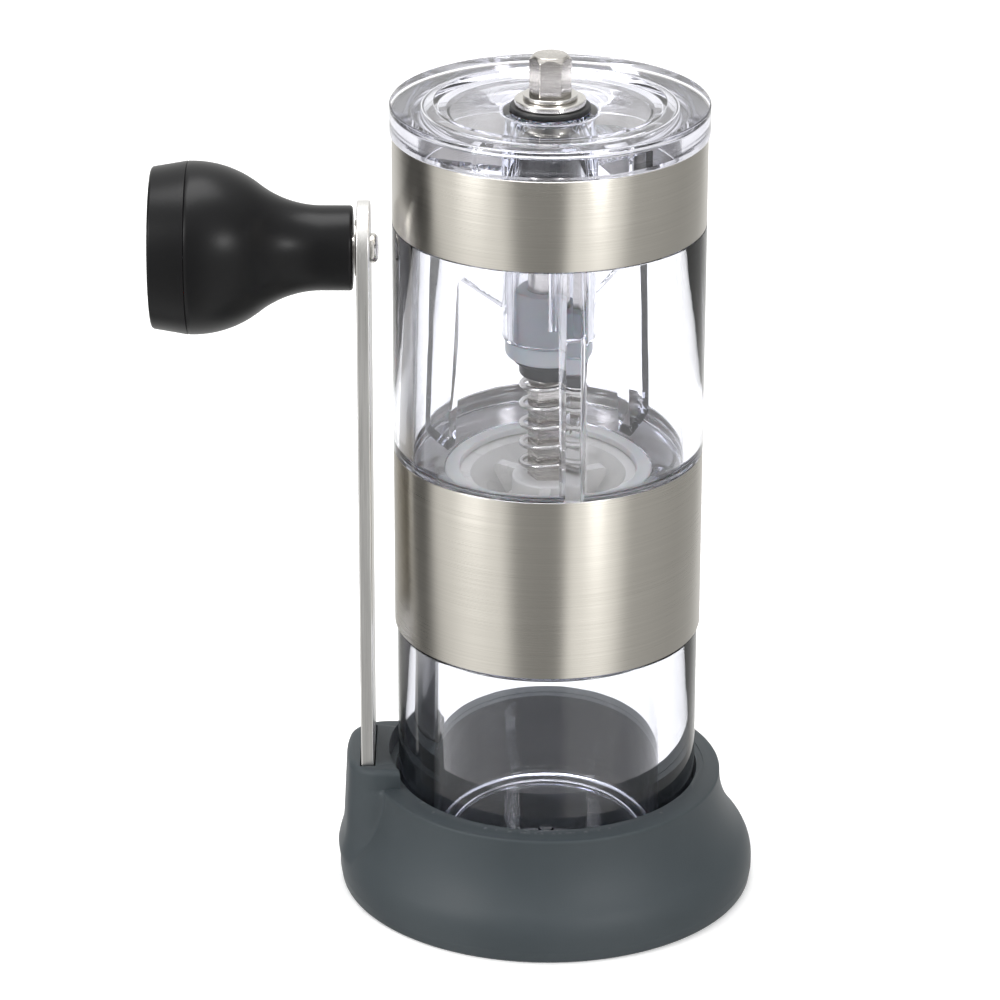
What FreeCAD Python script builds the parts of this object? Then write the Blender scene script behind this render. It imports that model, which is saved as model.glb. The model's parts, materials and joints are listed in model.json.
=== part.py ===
import FreeCAD, Part
import math
import os
import re
import Sketcher

# Hand crank coffee grinder, stored upright in its rubber foot.
# Millimetres. The grinding axis is Z and the foot rests on z = 0.
# The crank stands in the foot's slot on the -X side with its knob pointing to -X.

SIZES = {
    # overall
    "body_radius": 30.0,
    "band_wall": 0.4,
    "fit": 0.05,
    "play": 0.35,
    # foot
    "foot_floor": 6.0,
    "foot_wall": 4.6,
    "foot_rim": 23.2,
    "foot_spread": 6.7,
    "foot_undercut": 0.4,
    "foot_bulge": 4.0,
    "foot_brow": 0.3,
    "foot_curve": 9.0,
    "boss_rise": 4.0,
    "boss_skin": 2.8,
    "boss_cheek": 2.7,
    # jar
    "jar_step": 0.5,
    "jar_wall": 6.5,
    "jar_heel": 3.0,
    "jar_base": 3.4,
    "jar_drop": 49.4,
    "jar_neck_step": 1.4,
    "jar_neck_height": 9.6,
    "seal_rise": 3.2,
    "seal_height": 2.4,
    # hopper
    "band_gap": 0.2,
    "lower_band_height": 36.5,
    "window_height": 46.0,
    "upper_band_height": 17.7,
    "hopper_wall": 3.5,
    "skirt_clearance": 0.4,
    "throat_radius": 20.05,
    "throat_drop": 3.4,
    "throat_lip": 3.0,
    "tube_radius": 9.0,
    "tube_foot_flare": 0.3,
    "tube_wall": 2.5,
    "tube_drop": 41.5,
    "tube_proud": 4.2,
    "web_thickness": 3.5,
    "web_top_drop": 6.8,
    "web_root_rise": 3.9,
    "web_shoulder_rise": 4.2,
    "web_leg_gap": 0.85,
    "web_turn": 40.0,
    # lid
    "lid_overhang": 0.4,
    "lid_seat_gap": 0.1,
    "lid_height": 5.9,
    "lid_plug_gap": 0.4,
    "lid_plug_depth": 5.3,
    "recess_rim": 8.3,
    "recess_slope": 2.6,
    "recess_depth": 1.6,
    "lid_plate": 2.0,
    "panel_sweep": 56.0,
    # bushes
    "flange_overlap": 1.2,
    "flange_height": 1.2,
    "upper_bush_length": 12.0,
    "lower_bush_radius": 8.6,
    "lower_bush_height": 3.7,
    "lower_bush_spigot_length": 9.7,
    # shaft
    "shaft_radius": 4.0,
    "hex_width": 7.0,
    "shaft_reach": 8.5,
    "hex_rise": 0.9,
    "stud_radius": 2.45,
    "stud_length": 9.0,
    "burr_travel": 1.6,
    "washer_radius": 6.8,
    "washer_thickness": 1.3,
    "clip_radius": 5.2,
    "clip_depth": 0.8,
    "clip_thickness": 0.8,
    "sleeve_flange": 7.1,
    "sleeve_wall": 1.75,
    "sleeve_flange_height": 1.1,
    "sleeve_body_height": 2.7,
    # spring
    "spring_wire": 1.0,
    "spring_gap": 0.8,
    "spring_turns": 5.0,
    # burrs
    "burr_slimming": 6.4,
    "burr_foot_radius": 14.4,
    "burr_seat_drop": 2.0,
    "burr_cone_height": 14.0,
    "burr_hub_height": 4.6,
    "burr_gap": 1.15,
    "burr_ring": 18.0,
    "ring_drop": 1.1,
    "ring_height": 19.4,
    "carrier_skirt": 2.0,
    "carrier_rim": 6.55,
    "flange_drop": 14.7,
    "flange_thickness": 2.6,
    "screw_inset": 3.0,
    "snap_thickness": 1.0,
    # adjuster
    "click_radius": 7.6,
    "click_thickness": 1.2,
    "nut_radius": 9.5,
    "nut_height": 6.4,
    # crank
    "arm_clearance": 4.2,
    "arm_thickness": 2.5,
    "arm_width": 18.3,
    "arm_lift": 0.3,
    "socket_inset": 8.85,
    "rivet_reach": 117.25,
    "slot_clearance": 0.6,
    "pin_radius": 2.5,
    "pin_head_step": 0.35,
    "pin_head_height": 1.6,
    "pin_length": 30.95,
    # knob
    "knob_gap": 0.8,
    "knob_neck_length": 5.9,
    "knob_bell_length": 24.6,
    "knob_seam_width": 0.9,
    "knob_cap_length": 7.4,
    "knob_neck": 8.15,
    "knob_radius": 16.6,
    "knob_cap_draft": 1.1,
    "knob_curve": 19.5,
    "knob_hub_wall": 3.1,
    "knob_wall": 2.4,
    "washer_step": 2.9,
}

# Radii and levels that follow from the sizes above.
PLACES = {
    "jar_radius": "body_radius - jar_step",
    "jar_floor": "foot_floor + jar_base",
    "jar_shoulder": "foot_floor + jar_drop",
    "jar_neck_radius": "jar_radius - jar_neck_step",
    "jar_top": "jar_shoulder + jar_neck_height",
    "seal_low": "jar_shoulder + seal_rise",
    "seal_high": "seal_low + seal_height",
    "arm_plane": "-body_radius - arm_clearance - arm_thickness / 2",
    "slot_thickness": "arm_thickness + slot_clearance",
    "slot_width": "arm_width + slot_clearance + 0.1",
    "foot_pocket": "jar_radius + play + 0.15",
    "foot_waist": "foot_pocket + foot_wall",
    "foot_radius": "foot_waist + foot_spread",
    "foot_tread": "foot_radius - foot_undercut",
    "foot_neck": "foot_rim - foot_brow",
    "boss_top": "foot_rim + boss_rise",
    "boss_face": "-arm_plane + slot_thickness / 2 + boss_skin",
    "boss_width": "slot_width + 2 * boss_cheek",
    "boss_bore": "foot_pocket + 1.4",
    "boss_root": "foot_pocket - 8",
    "band_low": "jar_shoulder + band_gap",
    "window_low": "band_low + lower_band_height",
    "window_high": "window_low + window_height",
    "hopper_top": "window_high + upper_band_height",
    "hopper_bore": "body_radius - hopper_wall",
    "skirt_bore": "jar_neck_radius + skirt_clearance",
    "throat_top": "window_low - throat_drop",
    "throat_low": "throat_top - throat_lip",
    "tube_foot_radius": "tube_radius + tube_foot_flare",
    "tube_bore": "tube_radius - tube_wall",
    "tube_low": "hopper_top - tube_drop",
    "tube_high": "hopper_top + tube_proud",
    "web_top": "hopper_top - web_top_drop",
    "web_root": "tube_low + web_root_rise",
    "web_shoulder": "web_root + web_shoulder_rise",
    "web_leg": "throat_radius - web_leg_gap",
    "lid_radius": "body_radius + lid_overhang",
    "lid_low": "hopper_top + lid_seat_gap",
    "lid_high": "lid_low + lid_height",
    "lid_plug": "hopper_bore - lid_plug_gap",
    "lid_plug_low": "lid_low - lid_plug_depth",
    "recess_radius": "lid_radius - recess_rim",
    "recess_floor_radius": "recess_radius - recess_slope",
    "recess_floor": "lid_high - recess_depth",
    "flange_radius": "tube_bore + flange_overlap",
    "flange_top": "tube_high + flange_height",
    "upper_bush_low": "tube_high - upper_bush_length",
    "lower_bush_low": "tube_low - lower_bush_height",
    "lower_bush_spigot": "tube_low + lower_bush_spigot_length",
    "washer_top": "flange_top + washer_thickness",
    "shaft_top": "washer_top + shaft_reach",
    "hex_foot": "washer_top + hex_rise",
    "shaft_low": "ring_low - burr_seat_drop - 0.2",
    "stud_low": "shaft_low - stud_length",
    "shaft_foot": "shaft_low + burr_travel + 0.2",
    "clip_groove": "shaft_radius - clip_depth",
    "sleeve_body": "shaft_radius + fit + sleeve_wall",
    "sleeve_step": "lower_bush_low - 0.1 - sleeve_flange_height",
    "sleeve_low": "sleeve_step - sleeve_body_height",
    "journal_low": "sleeve_low - 2.7",
    "ring_top": "throat_top - ring_drop",
    "ring_low": "ring_top - ring_height",
    "burr_top_radius": "burr_foot_radius - burr_slimming",
    "burr_low": "shaft_low + burr_seat_drop",
    "burr_top": "burr_low + burr_cone_height",
    "burr_hub": "burr_top_radius - 1",
    "spring_low": "burr_top + burr_hub_height",
    "spring_radius": "shaft_radius + spring_wire / 2 + spring_gap",
    "carrier_low": "ring_low - carrier_skirt",
    "carrier_flange": "throat_radius + carrier_rim",
    "flange_low": "window_low - flange_drop",
    "flange_high": "flange_low + flange_thickness",
    "screw_circle": "carrier_flange - screw_inset",
    "snap_low": "ring_low - fit - snap_thickness - fit",
    "click_low": "shaft_low - click_thickness",
    "nut_low": "click_low - nut_height",
    "arm_low": "foot_floor + arm_lift",
    "socket_height": "arm_low + socket_inset",
    "rivet_height": "socket_height + rivet_reach",
    "pin_head": "pin_radius + pin_head_step",
    "knob_near": "arm_plane - arm_thickness / 2 - knob_gap",
    "pin_end": "arm_plane - pin_length + 0.2",
    "knob_washer": "pin_radius + washer_step",
    "knob_neck_end": "knob_near - knob_neck_length",
    "knob_wide": "knob_neck_end - knob_bell_length",
    "knob_seam": "knob_wide - knob_seam_width",
    "knob_far": "knob_seam - knob_cap_length",
    "knob_end": "knob_radius - knob_cap_draft",
    "knob_hub": "pin_radius + knob_hub_wall",
}

doc = FreeCAD.newDocument("grinder")
sheet = doc.addObject("Spreadsheet::Sheet", "sizes")
ENTRIES = SIZES | {name: f"={text}" for name, text in PLACES.items()}
for line, name in enumerate(ENTRIES, 1):
    sheet.set(f"A{line}", name)
    sheet.setAlias(f"B{line}", name)
for line, value in enumerate(ENTRIES.values(), 1):
    sheet.set(f"B{line}", str(value))
doc.recompute()

PARTS = []


def bound(text):
    """Point every size name in an expression at the sizes sheet."""
    return re.sub(r"[a-z_]+", lambda m: f"sizes.{m[0]}" if m[0] in ENTRIES else m[0], str(text))


def number(text):
    """Value of an expression in size names."""
    return float(sheet.evalExpression(bound(text)))


def drive(feature, **values):
    """Bind properties of a feature to expressions in size names."""
    for prop, text in values.items():
        feature.setExpression(prop.replace("__", "."), bound(text))


def new_part(name):
    """Start a sub-part as a body with its own label."""
    body = doc.addObject("PartDesign::Body", name)
    body.Label = name
    PARTS.append(body)
    return body


def flat_sketch(body, name, role, turn=0.0, lift=0.0):
    """Sketch on one of the body's own planes, turned about its upright axis or lifted off it."""
    plane = next(item for item in body.Origin.OriginFeatures if item.Role == role)
    sketch = body.newObject("Sketcher::SketchObject", name)
    sketch.AttachmentSupport = [(plane, "")]
    sketch.MapMode = "FlatFace"
    if turn:
        spin = FreeCAD.Rotation(FreeCAD.Vector(0, 1, 0), number(turn))
        sketch.AttachmentOffset = FreeCAD.Placement(FreeCAD.Vector(), spin)
    if lift:
        drive(sketch, AttachmentOffset__Base__z=lift)
    return sketch


def fix_point(sketch, edge, end, across, up):
    """Hold one end of an edge at a driven position."""
    for kind, text in (("DistanceX", across), ("DistanceY", up)):
        index = sketch.addConstraint(Sketcher.Constraint(kind, -1, 1, edge, end, number(text)))
        sketch.setExpression(f"Constraints[{index}]", bound(text))


def polygon(sketch, corners):
    """Closed outline of straight edges through driven corners."""
    spots = [FreeCAD.Vector(number(across), number(up), 0) for across, up in corners]
    edges = [sketch.addGeometry(Part.LineSegment(spot, spots[(i + 1) % len(spots)]))
             for i, spot in enumerate(spots)]
    for i, edge in enumerate(edges):
        sketch.addConstraint(Sketcher.Constraint("Coincident", edges[i - 1], 2, edge, 1))
    for edge, (across, up) in zip(edges, corners):
        fix_point(sketch, edge, 1, across, up)


def swept_outline(sketch, corners, swept, first_radius):
    """Closed outline in which one edge is a pair of tangent arcs between parallel neighbours."""
    spots = [FreeCAD.Vector(number(across), number(up), 0) for across, up in corners]
    start, end = spots[swept], spots[(swept + 1) % len(spots)]
    along = (start - spots[swept - 1]).normalize()
    run = (end - start).dot(along)
    normal = (end - start) - along * run
    rise = normal.Length
    normal.normalize()
    first = number(first_radius)
    second = (run * run + rise * rise) / (2 * rise) - first
    centres = (start + normal * first, end - normal * second)
    middle = centres[0] + (centres[1] - centres[0]) * (first / (first + second))
    edges = []
    for i, spot in enumerate(spots):
        if i != swept:
            edges.append([sketch.addGeometry(Part.LineSegment(spot, spots[(i + 1) % len(spots)]))])
            continue
        pair = []
        for centre, radius, tips in ((centres[0], first, (start, middle)),
                                     (centres[1], second, (middle, end))):
            angles = [math.atan2(tip.y - centre.y, tip.x - centre.x) for tip in tips]
            if (angles[1] - angles[0]) % (2 * math.pi) > math.pi:
                angles.reverse()
            round_edge = Part.Circle(centre, FreeCAD.Vector(0, 0, 1), radius)
            pair.append(sketch.addGeometry(Part.ArcOfCircle(round_edge, *angles)))
        edges.append(pair)
    tips = {}
    for pair in edges:
        for edge in pair:
            shape = sketch.Geometry[edge]
            tips[edge] = (shape.StartPoint, shape.EndPoint)

    def end_at(edge, spot):
        return 1 if tips[edge][0].distanceToPoint(spot) < 1e-6 else 2

    for i, spot in enumerate(spots):
        before, after = edges[i - 1][-1], edges[i][0]
        kind = "Tangent" if i in (swept, (swept + 1) % len(spots)) else "Coincident"
        sketch.addConstraint(
            Sketcher.Constraint(kind, before, end_at(before, spot), after, end_at(after, spot)))
    one, two = edges[swept]
    sketch.addConstraint(Sketcher.Constraint("Tangent", one, end_at(one, middle), two, end_at(two, middle)))
    index = sketch.addConstraint(Sketcher.Constraint("Radius", one, first))
    sketch.setExpression(f"Constraints[{index}]", bound(first_radius))
    for i, (across, up) in enumerate(corners):
        edge = edges[i][0]
        fix_point(sketch, edge, end_at(edge, spots[i]), across, up)


def circle(sketch, across, up, radius):
    """Driven circle."""
    middle = FreeCAD.Vector(number(across), number(up), 0)
    edge = sketch.addGeometry(Part.Circle(middle, FreeCAD.Vector(0, 0, 1), number(radius)))
    fix_point(sketch, edge, 3, across, up)
    index = sketch.addConstraint(Sketcher.Constraint("Radius", edge, number(radius)))
    sketch.setExpression(f"Constraints[{index}]", bound(radius))


def hexagon(sketch, across_flats, up="0"):
    """Regular hexagon with two flats facing up and down."""
    half, tip = f"({across_flats}) / 2", f"({across_flats}) / sqrt(3)"
    corners = [(f"{side} * {tip} * {reach}", f"{up} + {level} * {half}")
               for side, reach, level in ((1, 1, 0), (1, 0.5, 1), (-1, 0.5, 1),
                                          (-1, 1, 0), (-1, 0.5, -1), (1, 0.5, -1))]
    polygon(sketch, corners)


def slot_outline(sketch, middle, low, high, width):
    """Upright slot outline with half-round ends."""
    half = number(width) / 2
    x, bottom, top = number(middle), number(low), number(high)
    spots = [FreeCAD.Vector(x + side * half, level, 0)
             for side, level in ((1, bottom + half), (1, top - half), (-1, top - half), (-1, bottom + half))]
    right = sketch.addGeometry(Part.LineSegment(spots[0], spots[1]))
    crown = sketch.addGeometry(Part.Arc(spots[1], FreeCAD.Vector(x, top, 0), spots[2]))
    left = sketch.addGeometry(Part.LineSegment(spots[2], spots[3]))
    heel = sketch.addGeometry(Part.Arc(spots[3], FreeCAD.Vector(x, bottom, 0), spots[0]))
    for before, end, after, start in ((right, 2, crown, 1), (crown, 2, left, 1),
                                      (left, 2, heel, 1), (heel, 2, right, 1)):
        sketch.addConstraint(Sketcher.Constraint("Tangent", before, end, after, start))
    fix_point(sketch, right, 1, f"{middle} + {width} / 2", f"{low} + {width} / 2")
    fix_point(sketch, left, 1, f"{middle} - {width} / 2", f"{high} - {width} / 2")


def turn_round(body, name, corners, cut=False, axis="V_Axis", outline=polygon, **extra):
    """Turn an outline about an axis of its sketch, adding or cutting."""
    sketch = flat_sketch(body, f"{name}_outline", "XZ_Plane")
    outline(sketch, corners, **extra)
    kind = "PartDesign::Groove" if cut else "PartDesign::Revolution"
    feature = body.newObject(kind, name)
    feature.Profile = sketch
    feature.ReferenceAxis = (sketch, [axis])
    feature.Angle = 360
    body.Tip = feature
    return feature


def ring(body, name, inner, outer, low, high, cut=False):
    """Plain upright ring, or a disc when the inner radius is zero."""
    corners = [(inner, low), (outer, low), (outer, high), (inner, high)]
    return turn_round(body, name, corners, cut)


def raise_up(body, sketch, name, length, cut=False, both=False, taper=0.0):
    """Extrude a sketch along its upward normal, adding or cutting."""
    feature = body.newObject("PartDesign::Pocket" if cut else "PartDesign::Pad", name)
    feature.Profile = sketch
    drive(feature, Length=length)
    feature.Midplane = both
    feature.Reversed = cut
    feature.TaperAngle = taper
    body.Tip = feature
    return feature


def repeat(body, feature, name, count):
    """Repeat a feature evenly about the upright axis."""
    pattern = body.newObject("PartDesign::PolarPattern", name)
    pattern.Originals = [feature]
    axis = next(item for item in body.Origin.OriginFeatures if item.Role == "Z_Axis")
    pattern.Axis = (axis, [""])
    pattern.Angle = 360
    pattern.Occurrences = count
    body.Tip = pattern
    return pattern


def soften(body, name, radius, choose):
    """Round every edge of the body that the chooser accepts."""
    doc.recompute()
    base = body.Tip
    names = [f"Edge{i}" for i, edge in enumerate(base.Shape.Edges, 1) if choose(edge)]
    rounding = body.newObject("PartDesign::Fillet", name)
    rounding.Base = (base, names)
    rounding.Radius = radius
    body.Tip = rounding
    return rounding


def hoop(radius, height):
    """Chooser for round edges about Z of a given radius at a given height."""
    r, z = number(radius), number(height)

    def accept(edge):
        spots = [edge.valueAt(edge.FirstParameter + share * (edge.LastParameter - edge.FirstParameter))
                 for share in (0.1, 0.5, 0.9)]
        return all(abs(spot.z - z) < 0.02 and abs(math.hypot(spot.x, spot.y) - r) < 0.02
                   for spot in spots)
    return accept


def any_of(*choosers):
    """Chooser that accepts what any of the given ones accepts."""
    return lambda edge: any(accept(edge) for accept in choosers)


def make_foot():
    """Rubber foot with a pocket for the jar and a boss with a slot for the crank."""
    body = new_part("foot")
    sketch = flat_sketch(body, "boss_outline", "XY_Plane", lift="foot_bulge")
    polygon(sketch, [("-boss_face", "-boss_width / 2"), ("-boss_root", "-boss_width / 2"),
                     ("-boss_root", "boss_width / 2"), ("-boss_face", "boss_width / 2")])
    raise_up(body, sketch, "boss", "boss_top - foot_bulge")
    face, height = number("-boss_face"), number("boss_top - foot_bulge")
    soften(body, "boss_corners", 5.0, lambda edge: (
        edge.BoundBox.ZLength > height - 0.1 and abs(edge.CenterOfMass.x - face) < 0.1))
    top, root = number("boss_top"), number("-boss_root")
    soften(body, "boss_top_edge", 1.1, lambda edge: (
        edge.BoundBox.ZMin > top - 0.01 and edge.BoundBox.XMin < root - 1))
    turn_round(body, "flare", [
        ("0", "0"), ("foot_tread", "0"), ("foot_radius", "foot_bulge - 1.5"),
        ("foot_radius", "foot_bulge"), ("foot_waist", "foot_neck"), ("foot_waist", "foot_rim"),
        ("0", "foot_rim + 0.4")], outline=swept_outline, swept=3, first_radius="foot_curve")
    soften(body, "under_edge", 1.0, hoop("foot_tread", "0"))
    sketch = flat_sketch(body, "boss_bore_outline", "XY_Plane", lift="foot_rim + 0.2")
    circle(sketch, "0", "0", "boss_bore")
    raise_up(body, sketch, "boss_bore_cut", "30", cut=True)
    sketch = flat_sketch(body, "jar_pocket_outline", "XY_Plane", lift="foot_floor")
    circle(sketch, "0", "0", "foot_pocket")
    raise_up(body, sketch, "jar_pocket", "60", cut=True)
    sketch = flat_sketch(body, "slot_cut_outline", "XY_Plane", lift="foot_floor")
    near, far = "arm_plane + slot_thickness / 2", "arm_plane - slot_thickness / 2"
    polygon(sketch, [(far, "-slot_width / 2"), (near, "-slot_width / 2"),
                     (near, "slot_width / 2"), (far, "slot_width / 2")])
    raise_up(body, sketch, "slot_cut", "60", cut=True)


def make_jar():
    """Clear jar with a reduced neck and a groove for its seal."""
    body = new_part("jar")
    turn_round(body, "wall", [
        ("0", "foot_floor"), ("jar_radius", "foot_floor"), ("jar_radius", "jar_shoulder"),
        ("jar_neck_radius", "jar_shoulder"), ("jar_neck_radius", "seal_low - fit"),
        ("jar_neck_radius - 1", "seal_low - fit"), ("jar_neck_radius - 1", "seal_high + fit"),
        ("jar_neck_radius", "seal_high + fit"), ("jar_neck_radius", "jar_top"),
        ("jar_radius - jar_wall", "jar_top"), ("jar_radius - jar_wall", "jar_floor"),
        ("0", "jar_floor")])
    soften(body, "outer_heel", 2.6, hoop("jar_radius", "foot_floor"))
    soften(body, "inner_heel", number("jar_heel"), hoop("jar_radius - jar_wall", "jar_floor"))
    ridge = "jar_radius - jar_wall - jar_heel"
    ring(body, "floor_ridge", f"{ridge} - 0.1", f"{ridge} + 0.5", "jar_floor - 0.3", "jar_floor + 0.15")
    ring(body, "gate_mark", "0", "1.6", "jar_floor - 0.3", "jar_floor + 0.25")


def make_jar_seal():
    """Soft ring in the groove of the jar's neck."""
    ring(new_part("jar_seal"), "seal", "jar_neck_radius - 1 + fit",
         "skirt_bore - play + 0.02", "seal_low", "seal_high")


def make_hopper():
    """Clear hopper with a funnel floor, a centre tube, three webs and a skirt over the jar's neck."""
    body = new_part("hopper")
    neck = "body_radius - band_wall - fit"
    turn_round(body, "wall", [
        ("skirt_bore", "jar_shoulder"), (neck, "jar_shoulder"), (neck, "window_low"),
        ("body_radius + 0.05", "window_low"), ("body_radius + 0.05", "window_high"),
        (neck, "window_high"), (neck, "hopper_top"), ("hopper_bore", "hopper_top"),
        ("hopper_bore", "window_low"), ("throat_radius", "throat_top"),
        ("throat_radius", "throat_low"), ("skirt_bore", "window_low - 3")])
    turn_round(body, "tube", [
        ("tube_bore", "tube_low"), ("tube_foot_radius", "tube_low"),
        ("tube_radius", "tube_high"), ("tube_bore", "tube_high")])
    sketch = flat_sketch(body, "web_outline", "XZ_Plane", turn="web_turn")
    polygon(sketch, [
        ("tube_radius - 1", "web_root - 0.3"), ("web_leg - 2.4", "web_shoulder - 0.6"),
        ("web_leg - 0.7", "web_shoulder - 1.6"), ("web_leg", "web_shoulder - 3.6"),
        ("throat_radius + 0.5", "throat_top"), ("hopper_bore + 1", "throat_top + 1.5"),
        ("hopper_bore + 1", "web_top"), ("tube_radius - 1", "web_top")])
    web = raise_up(body, sketch, "web", "web_thickness", both=True)
    repeat(body, web, "webs", 3)
    sketch = flat_sketch(body, "screw_post_outline", "XY_Plane", lift="flange_high")
    circle(sketch, "screw_circle", "0", "2.9")
    post = raise_up(body, sketch, "screw_post", "window_low - 3.5 - flange_high")
    repeat(body, post, "screw_posts", 3)
    sketch = flat_sketch(body, "screw_bore_outline", "XY_Plane", lift="flange_high - 1")
    circle(sketch, "screw_circle", "0", "1.25 + fit")
    bore = raise_up(body, sketch, "screw_bore", "7.4", cut=True)
    repeat(body, bore, "screw_bores", 3)


def make_bands():
    """Steel sleeves over the hopper's skirt and neck."""
    for name, low, high in (("lower_band", "band_low", "window_low - fit"),
                            ("upper_band", "window_high + fit", "hopper_top")):
        ring(new_part(name), "sleeve", "body_radius - band_wall", "body_radius", low, high)


def make_lid():
    """Clear lid with a recessed middle, a plug skirt and a raised finger panel on the rim."""
    body = new_part("lid")
    under = "recess_floor - lid_plate"
    turn_round(body, "cover", [
        ("lid_plug", "lid_low"), ("lid_radius", "lid_low"), ("lid_radius", "lid_high"),
        ("recess_radius", "lid_high"), ("recess_floor_radius", "recess_floor"),
        ("tube_radius + play", "recess_floor"), ("tube_radius + play", under),
        ("recess_floor_radius - 0.5", under), ("recess_radius", "lid_high - lid_plate - 0.3"),
        ("lid_plug - 1.6", "lid_high - lid_plate - 0.3"), ("lid_plug - 1.6", "lid_plug_low"),
        ("lid_plug", "lid_plug_low")])
    soften(body, "rim_edge", 0.9, any_of(hoop("lid_radius", "lid_high"), hoop("lid_radius", "lid_low")))
    sketch = flat_sketch(body, "panel_outline", "XZ_Plane", turn="-90")
    polygon(sketch, [("lid_radius - 2", "lid_low + 0.5"), ("lid_radius + 0.3", "lid_low + 0.5"),
                     ("lid_radius + 0.3", "lid_high - 0.7"), ("lid_radius - 2", "lid_high - 0.7")])
    panel = body.newObject("PartDesign::Revolution", "panel")
    panel.Profile = sketch
    panel.ReferenceAxis = (sketch, ["V_Axis"])
    panel.Midplane = True
    drive(panel, Angle="panel_sweep")
    body.Tip = panel


def make_bushes():
    """Black upper bush with a flange on the tube, and a pale lower bush under it."""
    bore = "shaft_radius + fit"
    turn_round(new_part("upper_bush"), "bush", [
        (bore, "upper_bush_low"), ("tube_bore - fit", "upper_bush_low"),
        ("tube_bore - fit", "tube_high"), ("flange_radius", "tube_high"),
        ("flange_radius", "flange_top"), (bore, "flange_top")])
    turn_round(new_part("lower_bush"), "bush", [
        (bore, "lower_bush_low"), ("lower_bush_radius", "lower_bush_low"),
        ("lower_bush_radius", "tube_low"), ("tube_bore - fit", "tube_low"),
        ("tube_bore - fit", "lower_bush_spigot"), (bore, "lower_bush_spigot")])


def make_carrier():
    """White carrier that holds the fixed burr under the hopper."""
    body = new_part("burr_carrier")
    outer, inner = "throat_radius - fit", "burr_ring + fit"
    turn_round(body, "barrel", [
        (inner, "carrier_low"), (outer, "carrier_low"), (outer, "flange_low"),
        ("carrier_flange", "flange_low"), ("carrier_flange", "flange_high"), (outer, "flange_high"),
        (outer, "throat_top"), ("burr_ring - 0.8", "throat_top"),
        ("burr_ring - 1", "ring_top + fit"), (inner, "ring_top + fit"),
        (inner, "snap_low + snap_thickness + fit"), ("burr_ring + 0.85", "snap_low + snap_thickness + fit"),
        ("burr_ring + 0.85", "snap_low - fit"), (inner, "snap_low - fit")])
    sketch = flat_sketch(body, "screw_hole_outline", "XY_Plane", lift="flange_low - 1")
    circle(sketch, "screw_circle", "0", "1.6")
    hole = raise_up(body, sketch, "screw_hole", "5", cut=True)
    repeat(body, hole, "screw_holes", 3)


def make_carrier_screws():
    """Three pan head screws that hold the carrier up against the posts."""
    body = new_part("carrier_screws")
    sketch = flat_sketch(body, "head_outline", "XY_Plane", lift="flange_low - 1.8")
    circle(sketch, "screw_circle", "0", "2.75")
    head = raise_up(body, sketch, "head", "1.8")
    repeat(body, head, "heads", 3)
    sketch = flat_sketch(body, "shank_outline", "XY_Plane", lift="flange_low - 1")
    circle(sketch, "screw_circle", "0", "1.25")
    shank = raise_up(body, sketch, "shank", "9")
    repeat(body, shank, "shanks", 3)
    sketch = flat_sketch(body, "drive_outline", "XY_Plane", lift="flange_low - 2")
    polygon(sketch, [("screw_circle - 1.5", "-0.35"), ("screw_circle + 1.5", "-0.35"),
                     ("screw_circle + 1.5", "0.35"), ("screw_circle - 1.5", "0.35")])
    recess = raise_up(body, sketch, "drive_recess", "1.1", cut=True)
    repeat(body, recess, "drive_recesses", 3)


def make_outer_burr():
    """Fixed ceramic burr ring with a conical bore and milled feed grooves."""
    body = new_part("outer_burr")
    slope = "(burr_foot_radius - burr_top_radius) / (burr_top - burr_low)"
    foot = f"burr_foot_radius + burr_gap - {slope} * (ring_low - burr_low)"
    neck = f"{foot} - {slope} * (ring_top - 8.6 - ring_low)"
    turn_round(body, "ring", [
        (foot, "ring_low"), ("burr_ring", "ring_low"), ("burr_ring", "ring_top"),
        (f"{neck} + 4.6", "ring_top - 0.6"), (f"{neck} + 2.4", "ring_top - 4"), (neck, "ring_top - 8.6")])
    sketch = flat_sketch(body, "feed_groove_outline", "XY_Plane", lift="ring_top - 12.6")
    polygon(sketch, [("6", "-0.8"), (f"{neck} + 1.6", "-2.2"), (f"{neck} + 1.6", "0.2"), ("6", "1.6")])
    groove = raise_up(body, sketch, "feed_groove", "12", cut=True)
    repeat(body, groove, "feed_grooves", 8)


def make_snap_ring():
    """Split steel ring that keeps the fixed burr in its carrier."""
    body = new_part("burr_snap_ring")
    ring(body, "loop", "burr_ring - 1.2", "burr_ring + 0.6", "snap_low", "snap_low + snap_thickness")
    sketch = flat_sketch(body, "split_outline", "XY_Plane", lift="snap_low - 1")
    polygon(sketch, [("10", "-2"), ("25", "-2"), ("25", "2"), ("10", "2")])
    raise_up(body, sketch, "split", "4", cut=True)


def make_shaft():
    """Steel shaft with round journals, a hexagon drive tip, a hexagon seat and a threaded stud."""
    body = new_part("drive_shaft")
    turn_round(body, "bar", [
        ("0", "stud_low"), ("stud_radius - 0.4", "stud_low"), ("stud_radius", "stud_low + 0.4"),
        ("stud_radius", "shaft_foot"), ("shaft_radius", "shaft_foot"),
        ("shaft_radius", "washer_top + fit"), ("clip_groove", "washer_top + fit"),
        ("clip_groove", "washer_top + clip_thickness + 2 * fit"),
        ("shaft_radius", "washer_top + clip_thickness + 2 * fit"),
        ("shaft_radius", "shaft_top - 1"), ("shaft_radius - 0.8", "shaft_top"), ("0", "shaft_top")])
    for name, low, length in (("tip_flats", "hex_foot", "20"),
                              ("seat_flats", "shaft_foot", "journal_low - shaft_foot")):
        sketch = flat_sketch(body, f"{name}_outline", "XY_Plane", lift=low)
        hexagon(sketch, "hex_width")
        circle(sketch, "0", "0", "shaft_radius + 3")
        raise_up(body, sketch, name, length, cut=True)


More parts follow.
